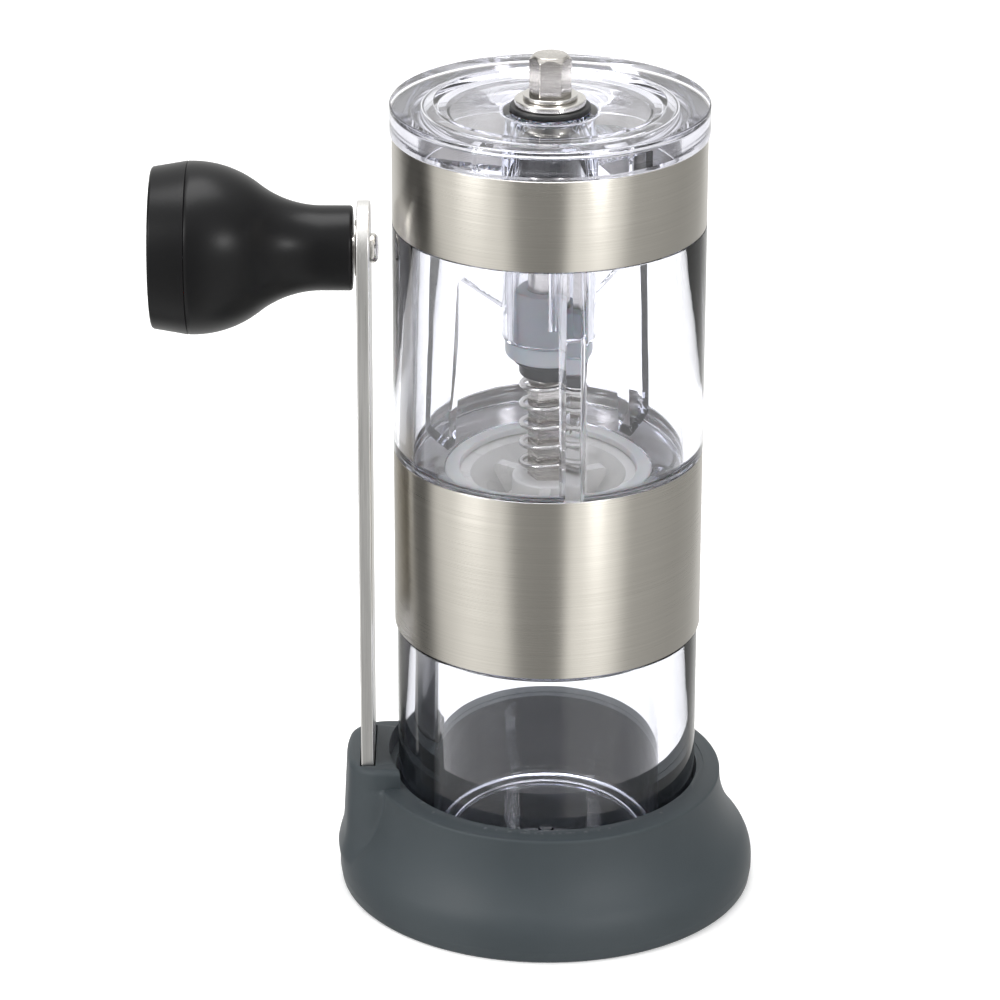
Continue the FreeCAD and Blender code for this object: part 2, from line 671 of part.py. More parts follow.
def make_shaft_trim():
    """Washer and clip at the top of the shaft, and the black sleeve under the lower bush."""
    bore = "shaft_radius + fit"
    ring(new_part("shaft_washer"), "disc", bore, "washer_radius", "flange_top", "washer_top")
    clip = new_part("shaft_clip")
    ring(clip, "disc", "clip_groove + fit", "clip_radius", "washer_top + fit",
         "washer_top + fit + clip_thickness")
    sketch = flat_sketch(clip, "mouth_outline", "XY_Plane", lift="washer_top - 1")
    polygon(sketch, [("-2.6", "0"), ("2.6", "0"), ("2.6", "9"), ("-2.6", "9")])
    raise_up(clip, sketch, "mouth", "4", cut=True)
    turn_round(new_part("drive_sleeve"), "sleeve", [
        (bore, "sleeve_low"), ("sleeve_body", "sleeve_low"), ("sleeve_body", "sleeve_step"),
        ("sleeve_flange", "sleeve_step"), ("sleeve_flange", "lower_bush_low - 0.1"),
        (bore, "lower_bush_low - 0.1")])


def make_spring():
    """Coiled wire spring between the sleeve and the hub of the turning burr."""
    body = new_part("spring")
    start = "spring_low + spring_wire / 2 + 0.05"
    sketch = flat_sketch(body, "wire_outline", "XZ_Plane")
    circle(sketch, "spring_radius", start, "spring_wire / 2")
    coil = body.newObject("PartDesign::AdditiveHelix", "coil")
    coil.Profile = sketch
    coil.ReferenceAxis = (sketch, ["V_Axis"])
    coil.Mode = 0
    rise = "(sleeve_low - spring_low - spring_wire - 0.1)"
    drive(coil, Pitch=f"{rise} / spring_turns", Height=rise)
    body.Tip = coil


def make_inner_burr():
    """Turning conical burr with a hub, spiral ribs and three feed wings."""
    body = new_part("inner_burr")
    turn_round(body, "cone", [
        ("0", "shaft_low + fit"), ("burr_foot_radius - 3", "shaft_low + fit"),
        ("burr_foot_radius", "burr_low"), ("burr_top_radius", "burr_top"),
        ("burr_hub", "burr_top + 0.6"), ("burr_hub", "spring_low"), ("0", "spring_low")])
    sketch = flat_sketch(body, "wing_outline", "XZ_Plane", turn="25")
    tip = "burr_top_radius + 4.2"
    polygon(sketch, [("burr_hub - 1.5", "burr_top - 2"), ("burr_top_radius + 1.2", "burr_top - 1"),
                     (tip, "burr_top + 2.6"), (tip, "spring_low - 0.4"),
                     ("burr_hub - 1.5", "spring_low - 0.4")])
    wing = raise_up(body, sketch, "wing", "2.2", both=True)
    repeat(body, wing, "wings", 3)
    sketch = flat_sketch(body, "tooth_outline", "XY_Plane", lift="burr_low - 3")
    polygon(sketch, [("burr_foot_radius - 1.1", "0"), ("burr_foot_radius + 3", "-1.1"),
                     ("burr_foot_radius + 3", "1.1")])
    tooth = raise_up(body, sketch, "tooth", "9", cut=True)
    repeat(body, tooth, "teeth", 24)
    sketch = flat_sketch(body, "seat_outline", "XY_Plane", lift="shaft_low - 1")
    hexagon(sketch, "hex_width + 2 * fit")
    raise_up(body, sketch, "seat", "40", cut=True)


def make_adjuster():
    """Click plate on the burr's underside and the threaded adjusting dial beneath it."""
    plate = new_part("click_plate")
    ring(plate, "disc", "stud_radius + fit", "click_radius", "click_low", "shaft_low")
    sketch = flat_sketch(plate, "dimple_outline", "XY_Plane", lift="click_low - 1")
    circle(sketch, "click_radius - 1.7", "0", "0.6")
    dimple = raise_up(plate, sketch, "dimple", "1.5", cut=True)
    repeat(plate, dimple, "dimples", 12)
    dial = new_part("adjuster_dial")
    turn_round(dial, "dial", [
        ("stud_radius + fit", "nut_low"), ("nut_radius - 0.8", "nut_low"),
        ("nut_radius", "nut_low + 0.8"), ("nut_radius", "click_low - 1.2"),
        ("nut_radius - 0.8", "click_low - 0.02"), ("stud_radius + fit", "click_low - 0.02")])
    sketch = flat_sketch(dial, "grip_outline", "XY_Plane", lift="nut_low - 1")
    circle(sketch, "nut_radius + 0.7", "0", "1.5")
    grip = raise_up(dial, sketch, "grip", "12", cut=True)
    repeat(dial, grip, "grips", 12)


def make_crank_arm():
    """Flat bar with round ends, a hexagon socket at the foot and a rivet hole at the head."""
    body = new_part("crank_arm")
    sketch = flat_sketch(body, "bar_outline", "YZ_Plane", lift="arm_plane - arm_thickness / 2")
    slot_outline(sketch, "0", "arm_low", "rivet_height + arm_width / 2", "arm_width")
    raise_up(body, sketch, "bar", "arm_thickness")
    for name, outline in (("socket", lambda s: hexagon(s, "hex_width + 0.2", "socket_height")),
                          ("rivet_hole", lambda s: circle(s, "0", "rivet_height", "pin_radius + fit"))):
        sketch = flat_sketch(body, f"{name}_outline", "YZ_Plane", lift="arm_plane - 5")
        outline(sketch)
        raise_up(body, sketch, name, "10", cut=True)


def lie_along_arm(body):
    """Move a part turned about its own X axis up to the rivet's height."""
    drive(body, Placement__Base__z="rivet_height")


def make_pin():
    """Domed rivet through the arm that is the knob's axle, with its washer and retainer."""
    inner, outer = "arm_plane + arm_thickness / 2", "arm_plane - arm_thickness / 2"
    pin = new_part("knob_pin")
    turn_round(pin, "pin", [
        ("pin_end", "0"), (f"{inner} + pin_head_height", "0"),
        (f"{inner} + pin_head_height", "pin_head * 0.55"),
        (f"{inner} + pin_head_height * 0.5", "pin_head * 0.92"),
        (f"{inner} + fit", "pin_head"), (f"{inner} + fit", "pin_radius"),
        ("pin_end + 1.2", "pin_radius"), ("pin_end + 1.2", "pin_radius - 0.5"),
        ("pin_end + 0.5", "pin_radius - 0.5"), ("pin_end + 0.5", "pin_radius"),
        ("pin_end", "pin_radius")], axis="H_Axis")
    washer = new_part("knob_washer")
    turn_round(washer, "disc", [
        ("knob_near + play", "pin_radius + fit"), (outer, "pin_radius + fit"),
        (outer, "knob_washer"), ("knob_near + play", "knob_washer")], axis="H_Axis")
    clip = new_part("knob_retainer")
    turn_round(clip, "disc", [
        ("pin_end + 0.55", "pin_radius - 0.45"), ("pin_end + 1.15", "pin_radius - 0.45"),
        ("pin_end + 1.15", "5.0"), ("pin_end + 0.55", "5.0")], axis="H_Axis")
    for body in (pin, washer, clip):
        lie_along_arm(body)


def make_knob():
    """Bell shaped hollow knob with an inner hub on the pin, closed by a round cap."""
    body = new_part("knob_body")
    turn_round(body, "bell", [
        ("knob_near", "0"), ("knob_near", "knob_neck"), ("knob_neck_end", "knob_neck"),
        ("knob_wide", "knob_radius"), ("knob_seam + fit", "knob_radius"), ("knob_seam + fit", "0")],
        axis="H_Axis", outline=swept_outline, swept=2, first_radius="knob_curve")
    inside = "knob_radius - knob_wall"
    turn_round(body, "hollow", [
        ("knob_seam - 1", "knob_hub"), ("knob_seam - 1", inside), ("knob_seam + 3", inside),
        ("knob_seam + 10", f"{inside} - 2.6"), ("knob_neck_end - 9", "knob_hub + 1"),
        ("knob_neck_end - 9", "knob_hub")], cut=True, axis="H_Axis")
    turn_round(body, "hub_end", [
        ("knob_seam - 1", "0"), ("knob_seam - 1", "knob_hub + 0.5"),
        ("pin_end + 1.5", "knob_hub + 0.5"), ("pin_end + 1.5", "0")], cut=True, axis="H_Axis")
    turn_round(body, "bore", [
        ("knob_near + 1", "0"), ("knob_near + 1", "pin_radius + fit"),
        ("knob_seam - 1", "pin_radius + fit"), ("knob_seam - 1", "0")], cut=True, axis="H_Axis")
    cap = new_part("knob_cap")
    turn_round(cap, "cap", [
        ("knob_seam", "knob_radius"), ("knob_far + 0.9", "knob_end"),
        ("knob_far + 0.35", "knob_end - 0.6"), ("knob_far", "knob_end - 6"), ("knob_far", "0"),
        ("knob_far + knob_wall", "0"),
        ("knob_far + knob_wall", f"{inside} - 1.8"), ("knob_seam + 2", f"{inside} - 1.8"),
        ("knob_seam + 2", f"{inside} - fit"), ("knob_seam", f"{inside} - fit")], axis="H_Axis")
    for part in (body, cap):
        lie_along_arm(part)


for make in (make_foot, make_jar, make_jar_seal, make_hopper, make_bands, make_lid, make_bushes,
             make_carrier, make_carrier_screws, make_outer_burr, make_snap_ring, make_shaft,
             make_shaft_trim, make_spring, make_inner_burr, make_adjuster, make_crank_arm,
             make_pin, make_knob):
    make()
doc.recompute()

bad = [item.Name for item in doc.Objects if "Invalid" in item.State or "Error" in item.State]
if bad:
    raise RuntimeError(f"features that did not build: {bad}")
os.makedirs("parts", exist_ok=True)
for part in PARTS:
    if part.Shape.isNull() or not part.Shape.isValid():
        raise RuntimeError(f"{part.Label} has no valid shape")
    part.Shape.exportStep(f"parts/{part.Label}.step")
    box = part.Shape.BoundBox
    print(f"{part.Label:16s} solids {len(part.Shape.Solids)} volume {part.Shape.Volume:9.1f} "
          f"z {box.ZMin:.2f} to {box.ZMax:.2f}")
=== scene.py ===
"""Hand crank coffee grinder: shapes, finishes, stage and camera.

All sizes are in millimetres in the row frame: the grinding axis is Z, the foot stands on z = 0
and the stored crank stands on the -X side.
"""

from __future__ import annotations

import json
import logging
import math
from dataclasses import dataclass
from enum import Enum
from typing import Callable, Sequence

import bmesh
import bpy
import numpy as np
from mathutils import Matrix, Vector

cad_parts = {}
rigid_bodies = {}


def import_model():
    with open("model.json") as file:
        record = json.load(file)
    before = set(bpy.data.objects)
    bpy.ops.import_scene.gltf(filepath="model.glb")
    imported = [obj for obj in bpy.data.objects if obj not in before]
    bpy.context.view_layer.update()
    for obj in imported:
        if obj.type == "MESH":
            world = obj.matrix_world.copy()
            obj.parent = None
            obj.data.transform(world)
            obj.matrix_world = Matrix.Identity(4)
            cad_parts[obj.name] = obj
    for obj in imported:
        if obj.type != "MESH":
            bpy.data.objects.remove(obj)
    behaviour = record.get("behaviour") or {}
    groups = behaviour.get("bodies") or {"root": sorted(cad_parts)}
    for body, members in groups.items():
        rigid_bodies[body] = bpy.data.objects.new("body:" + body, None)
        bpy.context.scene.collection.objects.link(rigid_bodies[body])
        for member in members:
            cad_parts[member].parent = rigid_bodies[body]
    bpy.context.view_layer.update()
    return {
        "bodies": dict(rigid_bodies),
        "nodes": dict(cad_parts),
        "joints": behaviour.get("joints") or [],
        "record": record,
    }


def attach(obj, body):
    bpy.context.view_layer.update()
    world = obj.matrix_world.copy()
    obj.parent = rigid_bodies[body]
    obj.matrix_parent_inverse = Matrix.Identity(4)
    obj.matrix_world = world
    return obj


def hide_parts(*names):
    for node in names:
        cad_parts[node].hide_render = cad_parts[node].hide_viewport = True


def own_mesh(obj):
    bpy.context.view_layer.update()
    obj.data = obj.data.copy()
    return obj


LOG = logging.getLogger("grinder")
MM = 0.001
WELD = 1e-7  # metres; closer vertices become one
ON_AXIS = 1e-9  # millimetres; a smaller radius lies on the axis
THIRD = 120  # degrees between the three webs, and between the three feed wings
Point = tuple[float, float]
Corner = tuple[float, float, float]
Colour = tuple[float, float, float]
Solid = bpy.types.Object
Socket = bpy.types.NodeSocket
Material = bpy.types.Material


class Ride(Enum):
    """The moving bodies that pieces ride on."""

    BASE = "base"
    JAR = "jar"
    GRINDER = "grinder"
    LID = "lid"
    DRIVE = "drive"
    BURRS = "burr_set"
    ADJUSTER = "adjuster"
    CRANK = "crank"
    KNOB = "knob"


class Axis(Enum):
    """Direction a turned shape is made about."""

    UP = "up"
    ALONG_X = "along_x"


# ---------------------------------------------------------------- mesh building


def rounded(corners: Sequence[Corner], closed: bool = True, steps: int = 6) -> list[Point]:
    """Round the corners of an outline.

    Args:
        corners: Corners as (across, up, rounding radius).
        closed: Whether the last corner joins the first.
        steps: Segments in each rounded corner.

    Returns:
        The outline's points.
    """
    count = len(corners)
    points: list[Point] = []
    for i, (x, y, radius) in enumerate(corners):
        ends = not closed and i in (0, count - 1)
        if radius <= 0 or ends:
            points.append((x, y))
            continue
        here = Vector((x, y))
        before = Vector(corners[i - 1][:2]) - here
        after = Vector(corners[(i + 1) % count][:2]) - here
        room = 0.49 * min(before.length, after.length)
        before.normalize()
        after.normalize()
        half = math.acos(max(-1.0, min(1.0, before.dot(after)))) / 2
        reach = min(radius / math.tan(half), room)
        bend = reach * math.tan(half)
        centre = here + (before + after).normalized() * (bend / math.sin(half))
        first = here + before * reach - centre
        last = here + after * reach - centre
        sweep = first.angle_signed(last)
        for step in range(steps + 1):
            angle = -sweep * step / steps
            spot = centre + Matrix.Rotation(angle, 2) @ first
            points.append((spot.x, spot.y))
    return points


def to_object(name: str, mesh: bpy.types.Mesh) -> Solid:
    """Put a mesh in the scene as an object at the origin."""
    obj = bpy.data.objects.new(name, mesh)
    bpy.context.scene.collection.objects.link(obj)
    return obj


def from_lists(name: str, verts: np.ndarray, faces: Sequence[Sequence[int]]) -> Solid:
    """Make an object from vertices in millimetres and faces, with outward normals.

    Args:
        name: Object name.
        verts: Vertex positions, one row each.
        faces: Vertex indices of each face.

    Returns:
        The new object.
    """
    mesh = bpy.data.meshes.new(name)
    mesh.from_pydata((np.asarray(verts, float) * MM).tolist(), [], [list(f) for f in faces])
    work = bmesh.new()
    work.from_mesh(mesh)
    bmesh.ops.remove_doubles(work, verts=work.verts, dist=WELD)
    bmesh.ops.recalc_face_normals(work, faces=work.faces)
    work.to_mesh(mesh)
    work.free()
    return to_object(name, mesh)


def turned(
    name: str,
    outline: Sequence[Point],
    segments: int = 192,
    axis: Axis = Axis.UP,
    height: float = 0.0,
    shape: Callable[[np.ndarray, np.ndarray, np.ndarray], np.ndarray] | None = None,
) -> Solid:
    """Turn a closed outline about an axis.

    Args:
        name: Object name.
        outline: Points as (radius, distance along the axis).
        segments: Steps round the axis.
        axis: Upright, or along X at a given height.
        height: Height of the axis when it lies along X.
        shape: Optional change to the radius, given radius, distance and angle grids.

    Returns:
        The new closed object.
    """
    pts = np.array(outline, float)
    angles = np.linspace(0, 2 * math.pi, segments, endpoint=False)
    radius = np.repeat(pts[:, :1], segments, 1)
    along = np.repeat(pts[:, 1:], segments, 1)
    turn = np.repeat(angles[None, :], len(pts), 0)
    if shape is not None:
        radius = shape(radius, along, turn)
    across, away = radius * np.cos(turn), radius * np.sin(turn)
    if axis is Axis.UP:
        verts = np.stack([across, away, along], -1).reshape(-1, 3)
    else:
        verts = np.stack([along, across, away + height], -1).reshape(-1, 3)
    count = len(pts)
    faces = []
    for i in range(count):
        k = (i + 1) % count
        if pts[i, 0] < ON_AXIS and pts[k, 0] < ON_AXIS:
            continue
        for j in range(segments):
            m = (j + 1) % segments
            faces.append((i * segments + j, i * segments + m, k * segments + m, k * segments + j))
    return from_lists(name, verts, faces)


def prism(
    name: str,
    outline: Sequence[Point],
    low: float,
    high: float,
    frame: Matrix | None = None,
) -> Solid:
    """Raise a flat outline into a solid.

    Args:
        name: Object name.
        outline: Points in the local XY plane.
        low: Start of the solid along local Z.
        high: End of the solid along local Z.
        frame: Placement of the local axes, in millimetres.

    Returns:
        The new closed object.
    """
    frame = frame or Matrix.Identity(4)
    count = len(outline)
    spots = [frame @ Vector((x, y, z)) for z in (low, high) for x, y in outline]
    faces: list[Sequence[int]] = [range(count), range(count, 2 * count)]
    faces += [(i, (i + 1) % count, count + (i + 1) % count, count + i) for i in range(count)]
    return from_lists(name, np.array([tuple(s) for s in spots]), faces)


def apply_modifiers(obj: Solid) -> Solid:
    """Bake an object's modifiers into its mesh."""
    graph = bpy.context.evaluated_depsgraph_get()
    mesh = bpy.data.meshes.new_from_object(obj.evaluated_get(graph))
    obj.modifiers.clear()
    obj.data = mesh
    return obj


def combine(target: Solid, tool: Solid, operation: str) -> Solid:
    """Join or cut one solid with another and discard the tool.

    Args:
        target: Solid that is changed.
        tool: Solid that is used up.
        operation: UNION or DIFFERENCE.

    Returns:
        The changed solid.
    """
    boolean = target.modifiers.new("combine", "BOOLEAN")
    boolean.operation = operation
    boolean.solver = "EXACT"
    boolean.object = tool
    bpy.context.view_layer.update()
    apply_modifiers(target)
    bpy.data.objects.remove(tool)
    return target


def eased(obj: Solid, width: float, angle: float = 40.0, segments: int = 3) -> Solid:
    """Round an object's sharp edges.

    Args:
        obj: Solid to change.
        width: Edge rounding in millimetres.
        angle: Only edges sharper than this many degrees are rounded.
        segments: Steps in each rounding.

    Returns:
        The changed solid.
    """
    bevel = obj.modifiers.new("ease", "BEVEL")
    bevel.width = width * MM
    bevel.segments = segments
    bevel.limit_method = "ANGLE"
    bevel.angle_limit = math.radians(angle)
    bevel.use_clamp_overlap = True
    bpy.context.view_layer.update()
    return apply_modifiers(obj)


def faired(obj: Solid, angle: float = 35.0) -> Solid:
    """Shade an object smooth with its large faces kept flat."""
    smooth(obj, angle)
    weights = obj.modifiers.new("fair", "WEIGHTED_NORMAL")
    weights.keep_sharp = True
    weights.weight = 80
    bpy.context.view_layer.update()
    return apply_modifiers(obj)


def smooth(obj: Solid, angle: float = 35.0) -> Solid:
    """Shade an object smooth, keeping edges sharper than an angle in degrees."""
    obj.data.shade_smooth()
    obj.data.set_sharp_from_angle(angle=math.radians(angle))
    return obj


def standing(degrees: float) -> Matrix:
    """Placement that stands an outline upright, reaching outward at an angle about the grinding axis."""
    return Matrix.Rotation(math.radians(degrees), 4, "Z") @ Matrix.Rotation(math.pi / 2, 4, "X")


def circle_points(x: float, y: float, radius: float, count: int = 48) -> list[Point]:
    """Points on a circle."""
    return [(x + radius * math.cos(2 * math.pi * i / count), y + radius * math.sin(2 * math.pi * i / count))
            for i in range(count)]


def hexagon_points(across_flats: float, x: float = 0.0, y: float = 0.0) -> list[Point]:
    """Corners of a hexagon with flats facing up and down."""
    tip = across_flats / math.sqrt(3)
    return [(x + tip * math.cos(math.radians(60 * i)), y + tip * math.sin(math.radians(60 * i)))
            for i in range(6)]


# ---------------------------------------------------------------- finishes


class Graph:
    """Small builder round one material's nodes."""

    def __init__(self, name: str) -> None:
        """Start an empty material with a Principled shader."""
        self.material = bpy.data.materials.new(name)
        self.material.use_nodes = True
        self.tree = self.material.node_tree
        self.tree.nodes.clear()
        self.output = self.tree.nodes.new("ShaderNodeOutputMaterial")
        self.shader = self.tree.nodes.new("ShaderNodeBsdfPrincipled")
        self.link(self.shader.outputs[0], self.output.inputs["Surface"])
        self.place = self.add("ShaderNodeTexCoord").outputs["Object"]

    def add(self, kind: str, **values: object) -> bpy.types.Node:
        """Add a node, setting attributes and unlinked inputs by name."""
        node = self.tree.nodes.new(kind)
        for key, value in values.items():
            name = key.replace("_", " ").title()
            if name in node.inputs:
                node.inputs[name].default_value = value
            else:
                setattr(node, key, value)
        return node

    def link(self, source: Socket, target: Socket) -> None:
        """Connect two sockets."""
        self.tree.links.new(source, target)

    def set(self, name: str, value: object) -> None:
        """Set one Principled input to a constant."""
        self.shader.inputs[name].default_value = value

    def noise(self, scale: Sequence[float], detail: float = 3.0, rough: float = 0.55) -> Socket:
        """Noise in the row frame.

        Args:
            scale: Features per metre along each axis.
            detail: Octaves.
            rough: Strength of the finer octaves.

        Returns:
            The noise value, around one half.
        """
        mapping = self.add("ShaderNodeMapping")
        mapping.inputs["Scale"].default_value = tuple(scale)
        self.link(self.place, mapping.inputs["Vector"])
        noise = self.add("ShaderNodeTexNoise", scale=1.0, detail=detail, roughness=rough)
        self.link(mapping.outputs[0], noise.inputs["Vector"])
        return noise.outputs["Fac"]

    def span(self, source: Socket, low: float, high: float,
             start: float = 0.25, end: float = 0.75) -> Socket:
        """Map a noise value onto a range."""
        node = self.add("ShaderNodeMapRange")
        for name, value in (("From Min", start), ("From Max", end), ("To Min", low), ("To Max", high)):
            node.inputs[name].default_value = value
        self.link(source, node.inputs["Value"])
        return node.outputs[0]

    def blend(self, source: Socket, first: Colour, second: Colour) -> Socket:
        """Colour between two colours by a value from 0 to 1."""
        node = self.add("ShaderNodeMix", data_type="RGBA")
        ends = [s for s in node.inputs if s.type == "RGBA"]
        for end, colour in zip(ends, (first, second)):
            end.default_value = (*colour, 1.0)
        self.link(source, node.inputs[0])
        return next(s for s in node.outputs if s.type == "RGBA")

    def bump(self, source: Socket, depth: float, strength: float = 1.0) -> None:
        """Roughen the surface by a height in millimetres, on top of any bump already there."""
        node = self.add("ShaderNodeBump")
        node.inputs["Strength"].default_value = strength
        node.inputs["Distance"].default_value = depth * MM
        self.link(source, node.inputs["Height"])
        linked = self.shader.inputs["Normal"].links
        if linked:
            self.link(linked[0].from_socket, node.inputs["Normal"])
        self.link(node.outputs[0], self.shader.inputs["Normal"])


@dataclass(frozen=True)
class ClearPlastic:
    """Clear moulded plastic that takes a faint tint with depth.

    Attributes:
        name: Material name.
        depth_tint: Colour that a long path inside the plastic takes.
        density: Strength of the tint per metre.
        roughness: Surface roughness.
        ripple: Height of the slow moulding ripples in millimetres.
        dark: Darker surface colour of the slow mottling.
        light: Lighter surface colour of the slow mottling.
    """

    name: str
    depth_tint: Colour = (0.55, 0.62, 0.92)
    density: float = 7.0
    roughness: float = 0.012
    ripple: float = 0.02
    dark: Colour = (0.935, 0.938, 0.962)
    light: Colour = (0.95, 0.952, 0.972)

    def build(self) -> Material:
        """Make the material."""
        g = Graph(self.name)
        g.set("Transmission Weight", 1.0)
        g.set("IOR", 1.49)
        soft = g.noise((90, 90, 60), detail=2.0)
        fine = g.noise((1500, 1500, 1500), detail=2.0)
        g.link(g.blend(g.span(soft, 0, 1), self.dark, self.light), g.shader.inputs["Base Color"])
        g.link(g.span(fine, self.roughness * 0.5, self.roughness * 1.8), g.shader.inputs["Roughness"])
        g.bump(soft, self.ripple)
        absorb = g.add("ShaderNodeVolumeAbsorption")
        absorb.inputs["Color"].default_value = (*self.depth_tint, 1.0)
        absorb.inputs["Density"].default_value = self.density
        g.link(absorb.outputs[0], g.output.inputs["Volume"])
        return g.material


@dataclass(frozen=True)
class Metal:
    """Bare metal with fine lines in one direction.

    Attributes:
        name: Material name.
        light: Colour of the brighter lines.
        dark: Colour of the darker lines.
        lines: Line noise, features per metre along each axis.
        roughness: Least and greatest roughness.
        spread: How far highlights stretch across the lines, 0 to 1.
        depth: Height of the lines in millimetres.
    """

    name: str
    light: Colour
    dark: Colour
    lines: tuple[float, float, float]
    roughness: tuple[float, float] = (0.2, 0.3)
    spread: float = 0.0
    depth: float = 0.002

    def build(self) -> Material:
        """Make the material."""
        g = Graph(self.name)
        g.set("Metallic", 1.0)
        lines = g.noise(self.lines, detail=4.0, rough=0.7)
        cloud = g.noise((40, 40, 40), detail=2.0)
        g.link(g.blend(g.span(lines, 0, 1, 0.3, 0.7), self.dark, self.light), g.shader.inputs["Base Color"])
        wear = g.add("ShaderNodeMath", operation="ADD")
        g.link(g.span(lines, *self.roughness), wear.inputs[0])
        g.link(g.span(cloud, -0.02, 0.03), wear.inputs[1])
        g.link(wear.outputs[0], g.shader.inputs["Roughness"])
        if self.spread:
            g.set("Anisotropic", self.spread)
            g.set("Anisotropic Rotation", 0.25)
            tangent = g.add("ShaderNodeTangent", direction_type="RADIAL", axis="Z")
            g.link(tangent.outputs[0], g.shader.inputs["Tangent"])
        g.bump(lines, self.depth)
        return g.material


@dataclass(frozen=True)
class Moulded:
    """Opaque moulded material: rubber, plastic or ceramic.

    Attributes:
        name: Material name.
        light: Lighter colour of the slow mottling.
        dark: Darker colour of the slow mottling.
        roughness: Least and greatest roughness.
        grain: Fine grain, features per metre.
        depth: Height of the grain in millimetres.
        glow: Share of light that passes under the surface.
        coat: Weight of a clear gloss on top.
        sheen: Weight of soft dust-like sheen.
        shine: Strength of the surface reflection.
    """

    name: str
    light: Colour
    dark: Colour
    roughness: tuple[float, float] = (0.4, 0.5)
    grain: float = 2500.0
    depth: float = 0.01
    glow: float = 0.0
    coat: float = 0.0
    sheen: float = 0.0
    shine: float = 0.5

    def build(self) -> Material:
        """Make the material."""
        g = Graph(self.name)
        slow = g.noise((55, 55, 55), detail=4.0)
        grain = g.noise((self.grain,) * 3, detail=2.0)
        g.link(g.blend(g.span(slow, 0, 1), self.dark, self.light), g.shader.inputs["Base Color"])
        g.link(g.span(slow, *self.roughness), g.shader.inputs["Roughness"])
        g.set("Subsurface Weight", self.glow)
        g.set("Subsurface Scale", 0.002)
        g.set("Coat Weight", self.coat)
        g.set("Sheen Weight", self.sheen)
        g.set("Specular IOR Level", self.shine)
        g.set("Sheen Roughness", 0.4)
        g.bump(grain, self.depth)
        return g.material


@dataclass(frozen=True)
class Finishes:
    """Every finish of the grinder, ready to use."""

    clear: Material
    lid_clear: Material
    brushed: Material
    bright: Material
    turned: Material
    bar: Material
    wire: Material
    rubber: Material
    knob: Material
    black: Material
    pale: Material
    white: Material
    ceramic: Material
    seal: Material

    @classmethod
    def make(cls) -> "Finishes":
        """Build the whole set."""
        return cls(
            clear=ClearPlastic("clear_plastic").build(),
            lid_clear=ClearPlastic("lid_plastic", depth_tint=(0.6, 0.6, 0.93), density=9.0).build(),
            brushed=Metal("brushed_steel", (0.67, 0.64, 0.585), (0.56, 0.535, 0.485), (25, 25, 9000),
                          (0.25, 0.33), spread=0.93, depth=0.0012).build(),
            bright=Metal("bright_steel", (0.78, 0.76, 0.73), (0.6, 0.58, 0.55), (3000, 3000, 3000),
                         (0.16, 0.26)).build(),
            turned=Metal("turned_steel", (0.72, 0.69, 0.65), (0.5, 0.48, 0.45), (300, 300, 6000),
                         (0.17, 0.3)).build(),
            bar=Metal("plated_bar", (0.9, 0.89, 0.87), (0.76, 0.75, 0.73), (5000, 2600, 60),
                      (0.26, 0.38)).build(),
            wire=Metal("spring_wire", (0.7, 0.68, 0.66), (0.5, 0.49, 0.47), (1500, 1500, 1500),
                       (0.16, 0.26)).build(),
            rubber=Moulded("foot_rubber", (0.034, 0.045, 0.052), (0.027, 0.037, 0.043), (0.5, 0.6),
                           grain=2600, depth=0.012, sheen=0.12).build(),
            knob=Moulded("knob_plastic", (0.0075, 0.0075, 0.008), (0.0055, 0.0055, 0.006), (0.3, 0.36),
                         grain=3200, depth=0.012, shine=0.16).build(),
            black=Moulded("black_plastic", (0.016, 0.016, 0.018), (0.01, 0.01, 0.011)).build(),
            pale=Moulded("pale_plastic", (0.5, 0.53, 0.56), (0.4, 0.43, 0.46), (0.3, 0.4),
                         glow=0.6).build(),
            white=Moulded("white_plastic", (0.84, 0.84, 0.83), (0.78, 0.78, 0.77), (0.35, 0.45),
                          glow=0.2).build(),
            ceramic=Moulded("ceramic", (0.86, 0.85, 0.82), (0.8, 0.79, 0.76), (0.2, 0.35),
                            grain=1200, coat=0.3).build(),
            seal=Moulded("seal_silicone", (0.6, 0.6, 0.6), (0.5, 0.5, 0.5), (0.5, 0.6), glow=0.4).build(),
        )


# ---------------------------------------------------------------- sub-assemblies


class SubAssembly:
    """Base of the grinder's sub-assemblies."""

    ride = Ride.BASE

    def __init__(self, finishes: Finishes) -> None:
        """Keep the shared finishes."""
        self.finishes = finishes

    def dress(self, obj: Solid, finish: Material, *nodes: str,
              ride: Ride | None = None) -> Solid:
        """Give a finished shape its material, its body and the pieces it stands for.

        Args:
            obj: Finished shape.
            finish: Material.
            nodes: Construction pieces that the shape stands for; they are hidden.
            ride: Body, when it isn't the sub-assembly's own.

        Returns:
            The same object.
        """
        obj.data.materials.clear()
        obj.data.materials.append(finish)
        if nodes:
            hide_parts(*nodes)
        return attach(obj, (ride or self.ride).value)


@dataclass
class FootSizes:
    """Sizes of the rubber foot."""

    radius: float = 41.3
    waist: float = 34.6
    bulge: float = 4.0
    neck: float = 22.9
    rim: float = 23.2
    curve: float = 9.0
    tread: float = 40.9
    floor: float = 6.0
    pocket: float = 30.0
    boss_top: float = 27.2
    boss_face: float = 40.9
    boss_lean: float = 0.05
    boss_corner: float = 5.5
    boss_half: float = 12.2
    boss_bore: float = 31.4
    boss_edge: float = 1.2
    boss_merge: float = 3.6
    lip: float = 31.0
    slot_corner: float = 0.5
    clear_of: float = 60.0
    edge: float = 0.35
    slot_far: float = -37.0
    slot_near: float = -33.9
    slot_half: float = 9.5


